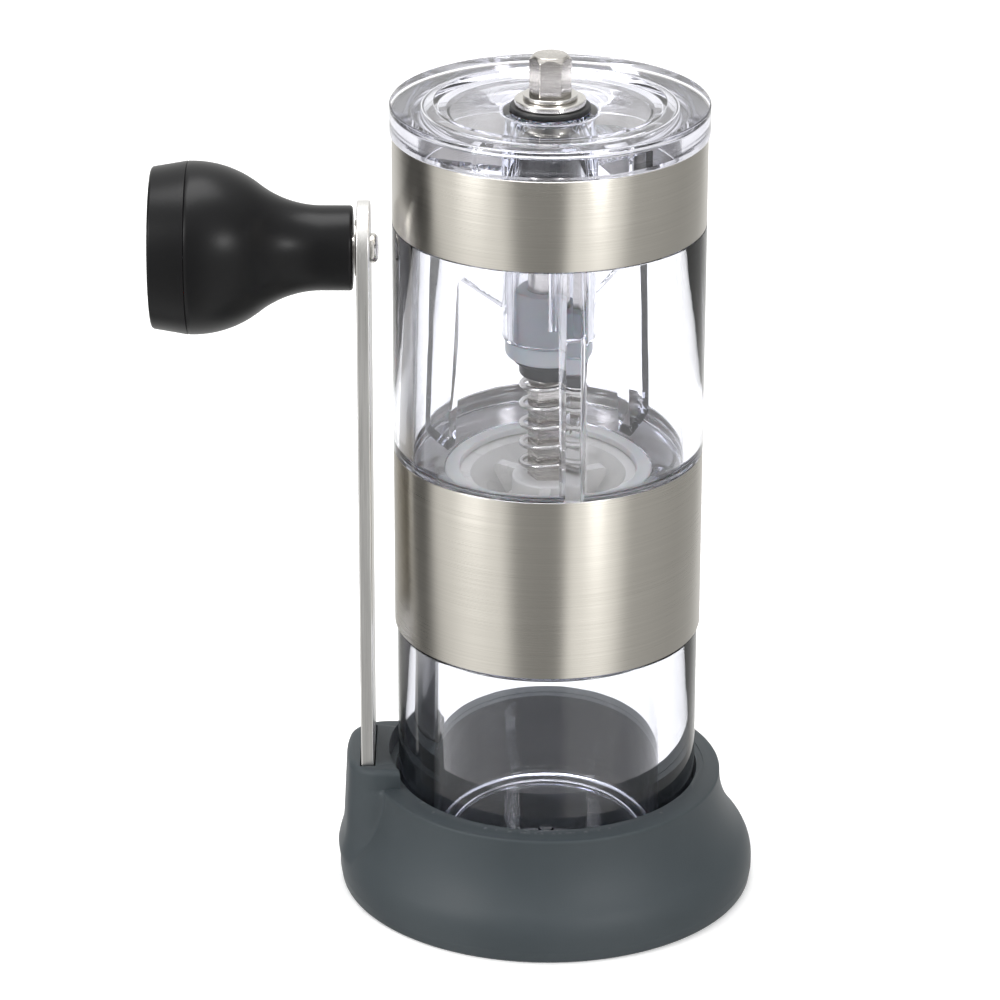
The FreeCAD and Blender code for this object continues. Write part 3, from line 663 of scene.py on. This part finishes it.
class Foot(SubAssembly):
    """Rubber foot with the jar pocket and the crank's slot."""

    def __init__(self, finishes: Finishes, sizes: FootSizes | None = None) -> None:
        """Keep the sizes."""
        super().__init__(finishes)
        self.sizes = sizes or FootSizes()

    def flare(self) -> list[Point]:
        """Outline of the foot from the middle of its underside up and over its rim."""
        s = self.sizes
        drop, rise = s.radius - s.waist, s.neck - s.bulge
        second = (rise * rise + drop * drop) / (2 * drop) - s.curve
        bend = s.bulge + rise * s.curve / (s.curve + second)
        points = [(0.0, 0.0), (s.radius * 0.5, 0.0)]
        points += rounded([(s.tread - 3, 0, 0), (s.tread, 0, 0.7), (s.radius, s.bulge - 1.5, 2.0),
                           (s.radius, s.bulge, 0)], closed=False)
        for z in np.linspace(s.bulge, s.neck, 44)[1:]:
            if z < bend:
                r = s.radius - s.curve + math.sqrt(s.curve**2 - (z - s.bulge) ** 2)
            else:
                r = s.waist + second - math.sqrt(second**2 - (s.neck - z) ** 2)
            points.append((r, float(z)))
        points += [(s.waist - 0.1, s.rim - 0.15), (s.waist - 0.5, s.rim - 0.02),
                   (s.waist - 1.1, s.rim), (s.pocket + 2.4, s.rim + 0.25), (s.lip, s.rim + 0.32)]
        edge_low = s.boss_top - s.boss_edge
        points += [(s.lip, float(z)) for z in np.linspace(s.rim + 0.6, edge_low, 8)]
        points += [(s.lip, edge_low + s.boss_edge * math.sin(a)) for a in np.linspace(0.2, math.pi / 2, 7)]
        return points + [(15.0, s.boss_top), (0.0, s.boss_top)]

    def boss_reach(self, off: np.ndarray, inset: float, lean: float) -> np.ndarray:
        """Reach of the boss from the axis, for angles away from its middle.

        Args:
            off: Angle of each point away from the boss's middle.
            inset: How far the outline is drawn in.
            lean: How far the outer face is drawn in.

        Returns:
            The distance from the axis to the boss's outline.
        """
        s = self.sizes
        half, round_off = s.boss_half - inset, s.boss_corner
        across = np.linspace(0, half, 120)
        share = np.clip((across - (half - round_off)) / round_off, 0, 1)
        out = np.sqrt((s.boss_face - inset - lean) ** 2 - across**2) - round_off * (1 - np.sqrt(1 - share**2))
        side = np.linspace(out[-1], 4.0, 60)[1:]
        across, out = np.append(across, np.full(59, half)), np.append(out, side)
        return np.interp(off, np.arctan2(across, out), np.hypot(across, out), right=0.0)

    def swell(self, radius: np.ndarray, height: np.ndarray, angle: np.ndarray) -> np.ndarray:
        """Blend the boss into the flare.

        Args:
            radius: Radius of the plain flare.
            height: Height of each point.
            angle: Angle of each point about the axis.

        Returns:
            The radius with the boss.
        """
        s = self.sizes
        off = np.abs(np.angle(np.exp(1j * (angle - math.pi))))
        result = radius.copy()
        for row in range(len(radius)):
            level, plain = height[row, 0], radius[row]
            if level <= s.bulge or plain[0] < 16:
                continue
            near_top = min(1.0, max(0.0, (level - (s.boss_top - s.boss_edge)) / s.boss_edge))
            inset = s.boss_edge * (1 - math.sqrt(1 - near_top**2))
            boss = self.boss_reach(off[row], inset, s.boss_lean * (level - s.bulge))
            soft = (0.5 if level > s.rim - 0.5 else s.boss_merge) * min(1.0, (level - s.bulge) / 3)
            share = np.clip(0.5 + 0.5 * (plain - boss) / soft, 0, 1)
            result[row] = boss * (1 - share) + plain * share + soft * share * (1 - share)
        return result

    def build(self) -> None:
        """Make and dress the foot."""
        s = self.sizes
        body = turned("foot_rubber", self.flare(), 720, shape=self.swell)
        for name, radius, low in (("bore", s.boss_bore, s.rim + 0.2), ("pocket", s.pocket, s.floor)):
            hole = prism(name, circle_points(0, 0, radius, 240), low, s.clear_of)
            combine(body, hole, "DIFFERENCE")
        corners = ((s.slot_far, -s.slot_half), (s.slot_near, -s.slot_half),
                   (s.slot_near, s.slot_half), (s.slot_far, s.slot_half))
        slot = rounded([(x, y, s.slot_corner) for x, y in corners])
        combine(body, prism("slot", slot, s.floor, s.clear_of), "DIFFERENCE")
        eased(body, s.edge, 50)
        self.dress(smooth(body, 40), self.finishes.rubber, "foot")


@dataclass
class JarSizes:
    """Sizes of the clear jar."""

    radius: float = 29.5
    wall: float = 6.5
    heel: float = 3.0
    under: float = 6.12
    floor: float = 9.4
    shoulder: float = 55.3
    neck: float = 28.1
    top: float = 65.0
    dish: float = 20.4
    dish_edge: float = 21.2
    dish_depth: float = 0.5
    base_round: float = 2.4
    ring: float = 0.18
    pip: float = 1.6


class Jar(SubAssembly):
    """Clear jar that catches the ground coffee."""

    ride = Ride.JAR

    def build(self) -> None:
        """Make and dress the jar."""
        s = JarSizes()
        inner = s.radius - s.wall
        ridge = inner - s.heel
        outline = rounded([
            (0, s.under + s.dish_depth, 0), (s.dish, s.under + s.dish_depth, 0.3),
            (s.dish_edge, s.under, 0.3), (s.radius, s.under, s.base_round),
            (s.radius, s.shoulder, 0.5), (s.neck, s.shoulder, 0.2), (s.neck, s.top, 0.5),
            (inner, s.top, 0.5), (inner, s.floor, s.heel), (ridge + 0.45, s.floor, 0.15),
            (ridge + 0.3, s.floor + s.ring, 0.1), (ridge, s.floor + s.ring, 0.1),
            (ridge - 0.15, s.floor, 0.15), (s.pip, s.floor, 0.1),
            (s.pip - 0.3, s.floor + 0.35, 0.15), (0, s.floor + 0.4, 0)], steps=10)
        jar = turned("jar_clear", outline, 256)
        self.dress(smooth(jar, 50), self.finishes.clear, "jar")


@dataclass
class HopperSizes:
    """Sizes of the clear hopper."""

    window: float = 30.05
    sleeve: float = 29.55
    bore: float = 26.5
    skirt: float = 28.5
    low: float = 55.42
    window_low: float = 92.1
    window_high: float = 138.1
    top: float = 155.8
    throat: float = 20.08
    throat_top: float = 88.7
    throat_low: float = 85.7
    tube_low: float = 114.3
    tube_high: float = 160.0
    tube_foot: float = 9.3
    tube_head: float = 9.0
    tube_bore: float = 6.5
    web: float = 3.5
    web_turn: float = 40.0
    web_root: float = 118.0
    web_shoulder: float = 122.4
    web_leg: float = 19.2
    web_top: float = 149.0
    band_inner: float = 29.6
    band_outer: float = 30.0
    band_low: float = 55.6
    band_gap: float = 0.05


class Hopper(SubAssembly):
    """Clear hopper with its tube and webs, and the two steel sleeves."""

    ride = Ride.GRINDER

    def clear_body(self) -> Solid:
        """Wall, funnel floor, tube and webs as one solid."""
        s = HopperSizes()
        body = turned("hopper_clear", rounded([
            (s.skirt, s.low, 0.2), (s.sleeve, s.low, 0.2), (s.sleeve, s.window_low, 0.05),
            (s.window, s.window_low, 0.15), (s.window, s.window_high, 0.15), (s.sleeve, s.window_high, 0.05),
            (s.sleeve, s.top, 0.3), (s.bore, s.top, 0.5), (s.bore, s.window_low, 1.6),
            (s.throat, s.throat_top, 0.3), (s.throat, s.throat_low, 0.3),
            (s.skirt, s.window_low - 3, 1.2)]), 240)
        combine(body, turned("tube", [
            (s.tube_bore, s.tube_low), (s.tube_foot, s.tube_low), (s.tube_head, s.tube_high),
            (s.tube_bore, s.tube_high)], 144), "UNION")
        inner, outer = s.tube_foot - 1.3, s.bore + 1.2
        outline = rounded([
            (inner, s.web_root - 0.3, 0), (s.web_leg - 0.4, s.web_shoulder, 1.6),
            (s.web_leg, s.web_shoulder - 1.6, 1.2), (s.throat + 0.5, s.throat_top, 0),
            (outer, s.throat_top + 1.3, 0), (outer, s.web_top, 0), (inner, s.web_top, 0)])
        for turn in range(3):
            upright = standing(s.web_turn + THIRD * turn)
            combine(body, prism("web", outline, -s.web / 2, s.web / 2, upright), "UNION")
        return eased(body, 0.35, 42, 2)

    def build(self) -> None:
        """Make and dress the hopper and its sleeves."""
        s = HopperSizes()
        self.dress(smooth(self.clear_body(), 40), self.finishes.clear, "hopper")
        for name, low, high in (("lower_band", s.band_low, s.window_low - s.band_gap),
                                ("upper_band", s.window_high + s.band_gap, s.top)):
            outline = rounded([(s.band_inner, low, 0.1), (s.band_outer, low, 0.18),
                               (s.band_outer, high, 0.18), (s.band_inner, high, 0.1)], steps=3)
            self.dress(smooth(turned(f"{name}_steel", outline, 256), 60), self.finishes.brushed, name)


@dataclass
class LidSizes:
    """Sizes of the clear lid."""

    radius: float = 30.4
    seat: float = 155.95
    top: float = 161.8
    slope_out: float = 22.1
    slope_in: float = 19.6
    dish: float = 160.2
    under: float = 158.2
    rim_under: float = 159.5
    bore: float = 9.35
    skirt_outer: float = 26.1
    skirt_inner: float = 24.5
    skirt_low: float = 150.6
    panel_low: float = 156.5
    panel_high: float = 161.1
    panel_half: float = 28.0
    panel_rise: float = 0.3
    step: float = 0.05


class Lid(SubAssembly):
    """Clear lid with a recessed middle and a raised panel on the rim."""

    ride = Ride.LID

    @staticmethod
    def panel(radius: np.ndarray, height: np.ndarray, angle: np.ndarray) -> np.ndarray:
        """Raise the rim a little over the panel's sweep at the front."""
        s = LidSizes()
        off = np.abs(np.angle(np.exp(1j * (angle + math.pi / 2))))
        level = (height > s.panel_low - 0.1) & (height < s.panel_high + 0.1)
        raised = (off < math.radians(s.panel_half)) & (radius > s.radius - 0.1) & level
        return np.where(raised, radius + s.panel_rise, radius)

    def build(self) -> None:
        """Make and dress the lid."""
        s = LidSizes()
        corners = [
            (s.skirt_outer, s.seat, 0.3), (s.radius, s.seat, 0.7), (s.radius, s.panel_low, 0),
            (s.radius, s.panel_low + s.step, 0), (s.radius, s.panel_high - s.step, 0),
            (s.radius, s.panel_high, 0), (s.radius, s.top, 0.6), (s.slope_out, s.top, 0.5),
            (s.slope_in, s.dish, 0.8), (s.bore, s.dish, 0.3), (s.bore, s.under, 0.3), (19.0, s.under, 0.8),
            (22.0, s.rim_under, 0.8), (s.skirt_inner, s.rim_under, 0.8), (s.skirt_inner, s.skirt_low, 0.3),
            (s.skirt_outer, s.skirt_low, 0.5)]
        lid = turned("lid_clear", rounded(corners), 360, shape=self.panel)
        self.dress(smooth(lid, 42), self.finishes.lid_clear, "lid")


@dataclass
class DriveSizes:
    """Sizes of the shaft and of what is threaded on it."""

    foot: float = 57.0
    foot_radius: float = 2.45
    shoulder: float = 67.8
    radius: float = 4.0
    flats: float = 7.0
    flats_top: float = 104.0
    groove: float = 162.55
    groove_top: float = 163.4
    groove_radius: float = 3.2
    top: float = 171.0
    bore: float = 4.05
    washer: float = 6.8
    clip: float = 5.2
    mouth: float = 2.6
    sleeve_low: float = 106.7
    flange: float = 109.4
    flange_top: float = 110.5
    coil_radius: float = 5.3
    coil_wire: float = 0.5
    coil_low: float = 87.15
    coil_high: float = 106.15
    coil_turns: int = 5
    bush: float = 6.45
    bush_low: float = 148.0
    bush_head: float = 160.02
    bush_top: float = 161.2
    spigot_low: float = 110.6
    spigot_seat: float = 114.25
    spigot_top: float = 124.0


class DriveTrain(SubAssembly):
    """Shaft, bushes, sleeve, spring and the trim at the shaft's top."""

    ride = Ride.DRIVE

    def shaft(self) -> Solid:
        """Turned shaft with milled flats at its tip and along the burr seat."""
        s = DriveSizes()
        bar = turned("drive_shaft_steel", rounded([
            (0, s.foot, 0), (2.1, s.foot, 0.3), (s.foot_radius, 57.6, 0.2), (s.foot_radius, s.shoulder, 0),
            (s.radius, s.shoulder, 0.2), (s.radius, s.groove, 0.1), (s.groove_radius, s.groove, 0),
            (s.groove_radius, s.groove_top, 0), (s.radius, s.groove_top, 0.1), (s.radius, s.top - 1, 0.3),
            (3.15, s.top, 0.3), (0, s.top, 0)], steps=3), 96)
        for low, high in ((s.groove_top, s.top + 9), (s.shoulder, s.flats_top)):
            block = prism("flats", circle_points(0, 0, 2 * s.radius, 64), low, high)
            combine(block, prism("core", hexagon_points(s.flats), low - 1, high + 1), "DIFFERENCE")
            combine(bar, block, "DIFFERENCE")
        return faired(eased(bar, 0.1, 25, 1), 22)

    @staticmethod
    def coil() -> Solid:
        """Spring wire wound evenly round the shaft, its two ends cut square."""
        s = DriveSizes()
        count, steps = 14, s.coil_turns * 64
        around = np.linspace(0, 2 * math.pi, count, endpoint=False)
        share = np.linspace(0, 1, steps + 1)
        rows = []
        for a, z in zip(share * s.coil_turns * 2 * math.pi, s.coil_low + (s.coil_high - s.coil_low) * share):
            out = s.coil_radius + s.coil_wire * np.cos(around)
            rise = z + s.coil_wire * np.sin(around)
            rows.append(np.stack([out * math.cos(a), out * math.sin(a), rise], -1))
        faces: list[Sequence[int]] = [range(count), range(steps * count, (steps + 1) * count)]
        for i in range(steps):
            for j in range(count):
                k = (j + 1) % count
                faces.append((i * count + j, i * count + k, (i + 1) * count + k, (i + 1) * count + j))
        return from_lists("spring_wire", np.concatenate(rows), faces)

    def build(self) -> None:
        """Make and dress the drive train."""
        s, f = DriveSizes(), self.finishes
        self.dress(self.shaft(), f.turned, "drive_shaft")
        washer = turned("washer_steel", rounded([
            (s.bore, s.bush_top, 0.1), (s.washer, s.bush_top, 0.25), (s.washer, 162.5, 0.3),
            (s.bore, 162.5, 0.2)]), 128)
        self.dress(smooth(washer, 50), f.bright, "shaft_washer")
        clip = turned("clip_steel", rounded([
            (3.3, s.groove, 0.1), (s.clip, s.groove, 0.2), (s.clip, 163.35, 0.2), (3.3, 163.35, 0.1)]), 96)
        mouth = prism("mouth", [(-s.mouth, 0), (s.mouth, 0), (s.mouth, 9), (-s.mouth, 9)], 161, 166)
        self.dress(smooth(combine(clip, mouth, "DIFFERENCE"), 40), f.bright, "shaft_clip")
        sleeve = turned("sleeve_black", rounded([
            (s.bore, s.sleeve_low, 0.1), (5.8, s.sleeve_low, 0.3), (5.8, s.flange, 0.2),
            (7.1, s.flange, 0.25), (7.1, s.flange_top, 0.25), (s.bore, s.flange_top, 0.1)]), 96)
        self.dress(smooth(sleeve, 50), f.black, "drive_sleeve")
        spring = smooth(self.coil(), 60)
        self.dress(spring, f.wire, "spring")
        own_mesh(spring)
        upper = turned("upper_bush_black", rounded([
            (s.bore, s.bush_low, 0.2), (s.bush, s.bush_low, 0.4), (s.bush, s.bush_head, 0.1),
            (7.7, s.bush_head, 0.3), (7.7, s.bush_top, 0.35), (s.bore, s.bush_top, 0.2)]), 128)
        self.dress(smooth(upper, 50), f.black, "upper_bush", ride=Ride.GRINDER)
        lower = turned("lower_bush_pale", rounded([
            (s.bore, s.spigot_low, 0.2), (8.6, s.spigot_low, 0.6), (8.6, s.spigot_seat, 0.3),
            (s.bush, s.spigot_seat, 0.1), (s.bush, s.spigot_top, 0.4), (s.bore, s.spigot_top, 0.2)]), 128)
        self.dress(smooth(lower, 50), f.pale, "lower_bush", ride=Ride.GRINDER)


@dataclass
class BurrSizes:
    """Sizes of the carrier and the turning burr."""

    barrel: float = 20.0
    bore: float = 18.05
    low: float = 66.2
    top: float = 88.7
    flange: float = 26.6
    flange_low: float = 77.4
    flange_high: float = 80.0
    lip: float = 87.65
    ring_groove: float = 18.85
    foot: float = 66.05
    cone: float = 14.4
    hub: float = 7.0
    hub_top: float = 86.6
    wing_reach: float = 12.2
    wing_half: float = 1.1
    wing_turn: float = 25.0
    teeth: int = 24
    tooth_root: float = 13.3
    tooth_tip: float = 17.4
    tooth_half: float = 1.1
    seat: float = 7.1


class Burrs(SubAssembly):
    """Carrier and turning burr."""

    ride = Ride.GRINDER

    def carrier(self) -> Solid:
        """White barrel with its screw flange."""
        s = BurrSizes()
        return turned("carrier_white", rounded([
            (s.bore, s.low, 0.2), (s.barrel, s.low, 0.4), (s.barrel, s.flange_low, 0.3),
            (s.flange, s.flange_low, 0.5), (s.flange, s.flange_high, 0.5), (s.barrel, s.flange_high, 0.3),
            (s.barrel, s.top, 0.3), (17.2, s.top, 0.3), (17.0, s.lip, 0.1), (s.bore, s.lip, 0.1),
            (s.bore, 68.15, 0), (s.ring_groove, 68.15, 0), (s.ring_groove, 67.05, 0),
            (s.bore, 67.05, 0)]), 192)

    def turning_burr(self) -> Solid:
        """Conical burr with its hub, feed wings, teeth and hexagon seat."""
        s = BurrSizes()
        cone = turned("inner_burr_ceramic", rounded([
            (0, s.foot, 0), (11.4, s.foot, 0.4), (s.cone, 68, 0.4), (8.0, 82, 0.6), (s.hub, 82.6, 0.6),
            (s.hub, s.hub_top, 0.5), (0, s.hub_top, 0)]), 144)
        wing = rounded([(5.5, 80, 0), (9.2, 81, 0.5), (s.wing_reach, 84.6, 0.8), (s.wing_reach, 86.2, 0.7),
                        (5.5, 86.2, 0)])
        for turn in range(3):
            upright = standing(s.wing_turn + THIRD * turn)
            combine(cone, prism("wing", wing, -s.wing_half, s.wing_half, upright), "UNION")
        for tooth in range(s.teeth):
            angle = math.radians(360 // s.teeth * tooth)
            east, north = math.cos(angle), math.sin(angle)
            side_x, side_y = s.tooth_half * north, s.tooth_half * east
            tip_x, tip_y = s.tooth_tip * east, s.tooth_tip * north
            notch = [(s.tooth_root * east, s.tooth_root * north), (tip_x + side_x, tip_y - side_y),
                     (tip_x - side_x, tip_y + side_y)]
            combine(cone, prism("notch", notch, 65, 74), "DIFFERENCE")
        combine(cone, prism("seat", hexagon_points(s.seat), 60, 95), "DIFFERENCE")
        return eased(cone, 0.25, 45, 2)

    def build(self) -> None:
        """Make and dress the burrs."""
        f = self.finishes
        self.dress(smooth(self.carrier(), 50), f.white, "burr_carrier")
        self.dress(smooth(self.turning_burr(), 40), f.ceramic, "inner_burr", ride=Ride.BURRS)


@dataclass
class CrankSizes:
    """Sizes of the crank and its knob."""

    plane: float = -35.45
    thickness: float = 2.5
    half_width: float = 9.15
    low: float = 6.3
    pivot: float = 132.4
    socket: float = 15.15
    near: float = -37.5
    neck_end: float = -43.4
    wide: float = -68.0
    seam: float = -68.9
    far: float = -76.3
    neck: float = 8.15
    radius: float = 16.6
    curve: float = 19.5
    socket_flats: float = 7.2
    hole: float = 2.55
    skin: float = 2.4


class Crank(SubAssembly):
    """Flat crank bar with its rivet and washer."""

    ride = Ride.CRANK

    def bar(self) -> Solid:
        """Flat bar with round ends, a hexagon socket and the rivet's hole."""
        s = CrankSizes()
        ends = ((s.pivot, 0.0), (s.low + s.half_width, math.pi))
        outline = [(s.half_width * math.cos(a), middle + s.half_width * math.sin(a))
                   for middle, start in ends for a in np.linspace(start, start + math.pi, 40)]
        facing = Matrix(((0, 0, 1, s.plane), (1, 0, 0, 0), (0, 1, 0, 0), (0, 0, 0, 1)))
        bar = prism("crank_bar", outline, -s.thickness / 2, s.thickness / 2, facing)
        for name, hole in (("socket", hexagon_points(s.socket_flats, 0, s.socket)),
                           ("hole", circle_points(0, s.pivot, s.hole))):
            combine(bar, prism(name, hole, -5, 5, facing), "DIFFERENCE")
        return faired(eased(bar, 0.3, 40, 3), 50)

    def build(self) -> None:
        """Make and dress the bar, rivet and washer."""
        s, f = CrankSizes(), self.finishes
        self.dress(self.bar(), f.bar, "crank_arm")
        inner = s.plane + s.thickness / 2
        pin = turned("rivet_steel", [
            (0, -66.2), (2.5, -66.2), (2.5, -65.75), (2.0, -65.7), (2.0, -65.0), (2.5, -65.0),
            (2.5, inner + 0.05), (2.75, inner + 0.05), (2.85, inner + 0.15), (2.85, inner + 0.75),
            (2.7, inner + 1.1), (2.2, inner + 1.45), (1.3, inner + 1.6), (0, inner + 1.65)],
            96, Axis.ALONG_X, s.pivot)
        self.dress(smooth(pin, 40), f.bright, "knob_pin")
        outer = s.plane - s.thickness / 2
        washer = turned("knob_washer_steel", [
            (s.hole, outer), (5.3, outer), (5.4, outer - 0.1), (5.4, s.near + 0.4), (5.3, s.near + 0.35),
            (s.hole, s.near + 0.35)], 96, Axis.ALONG_X, s.pivot)
        self.dress(smooth(washer, 50), f.bright, "knob_washer")


class Knob(SubAssembly):
    """Black bell-shaped knob and its end cap."""

    ride = Ride.KNOB

    def bell(self) -> list[Point]:
        """Outer curve of the bell from the neck to the seam, as (radius, x)."""
        s = CrankSizes()
        run, rise = s.neck_end - s.wide, s.radius - s.neck
        second = (run * run + rise * rise) / (2 * rise) - s.curve
        bend = s.neck_end - run * s.curve / (s.curve + second)
        points = []
        for x in np.linspace(s.neck_end, s.wide, 48):
            if x > bend:
                r = s.neck + s.curve - math.sqrt(s.curve**2 - (x - s.neck_end) ** 2)
            else:
                r = s.radius - second + math.sqrt(second**2 - (x - s.wide) ** 2)
            points.append((r, float(x)))
        return points

    def build(self) -> None:
        """Make and dress the knob."""
        s, f = CrankSizes(), self.finishes
        inside = s.radius - s.skin
        start = [(s.hole, s.near, 0.1), (s.neck, s.near, 0.6), (s.neck, s.neck_end, 0)]
        outline = rounded(start, closed=False)
        outline += self.bell()[1:]
        outline += [(s.radius, s.seam + 0.22), (s.radius - 0.12, s.seam + 0.06), (inside, s.seam + 0.06),
                    (inside, s.seam + 3), (inside - 2.6, s.seam + 10), (6.6, s.neck_end - 9),
                    (5.6, s.neck_end - 9), (5.6, -64.7), (s.hole, -64.7)]
        body = turned("knob_bell", outline, 192, Axis.ALONG_X, s.pivot)
        self.dress(smooth(body, 40), f.knob, "knob_body")
        cap = turned("knob_cap_black", rounded([
            (0, s.far, 0), (9.0, s.far + 0.02, 6.0), (15.45, s.far + 0.45, 0.7), (s.radius, s.seam - 0.12, 0),
            (s.radius - 0.12, s.seam, 0), (14.15, s.seam, 0), (14.15, s.seam + 2, 0.2),
            (12.4, s.seam + 2, 0.2), (12.4, s.far + s.skin, 0.8), (0, s.far + s.skin, 0)],
            steps=8), 192, Axis.ALONG_X, s.pivot)
        self.dress(smooth(cap, 45), f.knob, "knob_cap")


# ---------------------------------------------------------------- stage


class Stage:
    """Floor, lights, surroundings and camera."""

    FLOOR_REACH = 3000.0
    PANELS = (
        (-180, 0.95), (-150, 0.85), (-137, 0.5), (-129, 0.15), (-99, 0.13), (-91, 0.95), (-36, 1.05),
        (-24, 0.34), (9, 0.3), (17, 1.15), (50, 1.2), (62, 0.55), (110, 0.42), (140, 0.5), (155, 0.85),
        (180, 0.95))
    """Level of the surroundings seen in reflections, by degrees round the object."""
    PANEL_WARMTH = 0.985
    CEILING = (0.5, 0.8)
    """Upward reach of a ray where the panels start to fade, and where the ceiling is all white."""
    FILL = 0.62
    """Level of the light that the surroundings throw on matt surfaces."""
    CAMERA_SPOT = (-0.009344, -0.83896, 0.43113)
    CAMERA_DOWN = 22.695
    CAMERA_ROLL = 0.099

    def floor(self) -> None:
        """White floor that keeps the soft shadow."""
        far = self.FLOOR_REACH
        corners = np.array([(-far, -far, 0), (far, -far, 0), (far, far, 0), (-far, far, 0)])
        floor = from_lists("floor", corners, [(0, 1, 2, 3)])
        g = Graph("floor_white")
        slow = g.noise((6, 6, 6))
        white = g.blend(g.span(slow, 0, 1), (0.93, 0.93, 0.93), (0.95, 0.95, 0.95))
        g.link(white, g.shader.inputs["Base Color"])
        g.set("Roughness", 0.9)
        g.set("Specular IOR Level", 0.1)
        g.set("Emission Color", (1, 1, 1, 1))
        g.set("Emission Strength", 0.22)
        floor.data.materials.append(g.material)
        floor.visible_glossy = False

    def surroundings(self) -> None:
        """Studio surroundings: white behind, with lit and unlit panels round the object for reflections."""
        world = bpy.data.worlds.new("studio")
        bpy.context.scene.world = world
        world.use_nodes = True
        tree = world.node_tree
        tree.nodes.clear()
        new, link = tree.nodes.new, tree.links.new
        place = new("ShaderNodeTexCoord")
        split = new("ShaderNodeSeparateXYZ")
        link(place.outputs["Generated"], split.inputs[0])
        minus = new("ShaderNodeMath")
        minus.operation = "MULTIPLY"
        minus.inputs[1].default_value = -1.0
        link(split.outputs["Y"], minus.inputs[0])
        turn = new("ShaderNodeMath")
        turn.operation = "ARCTAN2"
        link(split.outputs["X"], turn.inputs[0])
        link(minus.outputs[0], turn.inputs[1])
        share = new("ShaderNodeMapRange")
        share.inputs["From Min"].default_value = -math.pi
        share.inputs["From Max"].default_value = math.pi
        link(turn.outputs[0], share.inputs["Value"])
        ramp = new("ShaderNodeValToRGB")
        while len(ramp.color_ramp.elements) < len(self.PANELS):
            ramp.color_ramp.elements.new(0.5)
        for element, (degrees, level) in zip(ramp.color_ramp.elements, self.PANELS):
            element.position = (degrees + 180) / 360
            element.color = (level, level, level * self.PANEL_WARMTH, 1.0)
        link(share.outputs[0], ramp.inputs[0])
        panels, ceiling, plain, soft = (new("ShaderNodeBackground") for _ in range(4))
        link(ramp.outputs[0], panels.inputs["Color"])
        for white in (ceiling, plain, soft):
            white.inputs["Color"].default_value = (1, 1, 1, 1)
        soft.inputs["Strength"].default_value = self.FILL
        height = new("ShaderNodeMapRange")
        height.inputs["From Min"].default_value, height.inputs["From Max"].default_value = self.CEILING
        link(split.outputs["Z"], height.inputs["Value"])
        around = new("ShaderNodeMixShader")
        link(height.outputs[0], around.inputs[0])
        link(panels.outputs[0], around.inputs[1])
        link(ceiling.outputs[0], around.inputs[2])
        path = new("ShaderNodeLightPath")
        first = new("ShaderNodeMixShader")
        link(path.outputs["Is Glossy Ray"], first.inputs[0])
        link(soft.outputs[0], first.inputs[1])
        link(around.outputs[0], first.inputs[2])
        seen = new("ShaderNodeMath")
        seen.operation = "MAXIMUM"
        link(path.outputs["Is Camera Ray"], seen.inputs[0])
        link(path.outputs["Is Transmission Ray"], seen.inputs[1])
        last = new("ShaderNodeMixShader")
        link(seen.outputs[0], last.inputs[0])
        link(first.outputs[0], last.inputs[1])
        link(plain.outputs[0], last.inputs[2])
        output = new("ShaderNodeOutputWorld")
        link(last.outputs[0], output.inputs[0])

    def lamp(self, name: str, spot: Sequence[float], size: Sequence[float], power: float) -> None:
        """Add a soft box that faces the object.

        Args:
            name: Lamp name.
            spot: Position in metres.
            size: Width and height in metres.
            power: Power in watts.
        """
        data = bpy.data.lights.new(name, "AREA")
        data.shape = "RECTANGLE"
        data.size, data.size_y = size
        data.energy = power
        lamp = bpy.data.objects.new(name, data)
        bpy.context.scene.collection.objects.link(lamp)
        lamp.location = spot
        lamp.rotation_euler = (Vector((0, 0, 0.1)) - Vector(spot)).to_track_quat("-Z", "Y").to_euler()

    def camera(self) -> None:
        """Long lens looking down at the grinder."""
        data = bpy.data.cameras.new("camera")
        data.lens = 167.68
        data.sensor_width = 36.0
        data.clip_start, data.clip_end = 0.05, 50.0
        camera = bpy.data.objects.new("camera", data)
        bpy.context.scene.collection.objects.link(camera)
        camera.location = self.CAMERA_SPOT
        tilt = Matrix.Rotation(math.radians(90 - self.CAMERA_DOWN), 4, "X")
        roll = Matrix.Rotation(math.radians(self.CAMERA_ROLL), 4, "Z")
        camera.rotation_euler = (tilt @ roll).to_euler()
        bpy.context.scene.camera = camera

    def build(self) -> None:
        """Set everything up."""
        self.floor()
        self.surroundings()
        self.lamp("left_box", (-0.9, -0.52, 0.7), (0.4, 0.4), 5.0)
        self.lamp("right_box", (0.64, -0.88, 0.63), (0.22, 0.22), 4.0)
        self.lamp("top", (-0.1, 0.15, 1.0), (0.7, 0.5), 7.0)
        self.camera()
        cycles = bpy.context.scene.cycles
        cycles.max_bounces = 24
        cycles.transmission_bounces = 20
        cycles.glossy_bounces = 8
        cycles.transparent_max_bounces = 16
        bpy.context.scene.view_settings.view_transform = "Standard"


def dress_hidden(nodes: dict[str, Solid], finishes: Finishes) -> None:
    """Give the construction pieces that are still shown their finishes."""
    for name, finish in {
        "jar_seal": finishes.seal, "carrier_screws": finishes.bright, "outer_burr": finishes.ceramic,
        "burr_snap_ring": finishes.bright, "click_plate": finishes.bright, "adjuster_dial": finishes.black,
        "knob_retainer": finishes.bright,
    }.items():
        nodes[name].data.materials.clear()
        nodes[name].data.materials.append(finish)


def main() -> None:
    """Build the grinder, dress it and set the stage."""
    logging.basicConfig(level=logging.INFO, format="%(name)s: %(message)s")
    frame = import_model()
    finishes = Finishes.make()
    for part in (Foot, Jar, Hopper, Lid, DriveTrain, Burrs, Crank, Knob):
        part(finishes).build()
        LOG.info("built %s", part.__name__)
    dress_hidden(frame["nodes"], finishes)
    Stage().build()
    LOG.info("stage set")


if __name__ == "__main__":
    main()
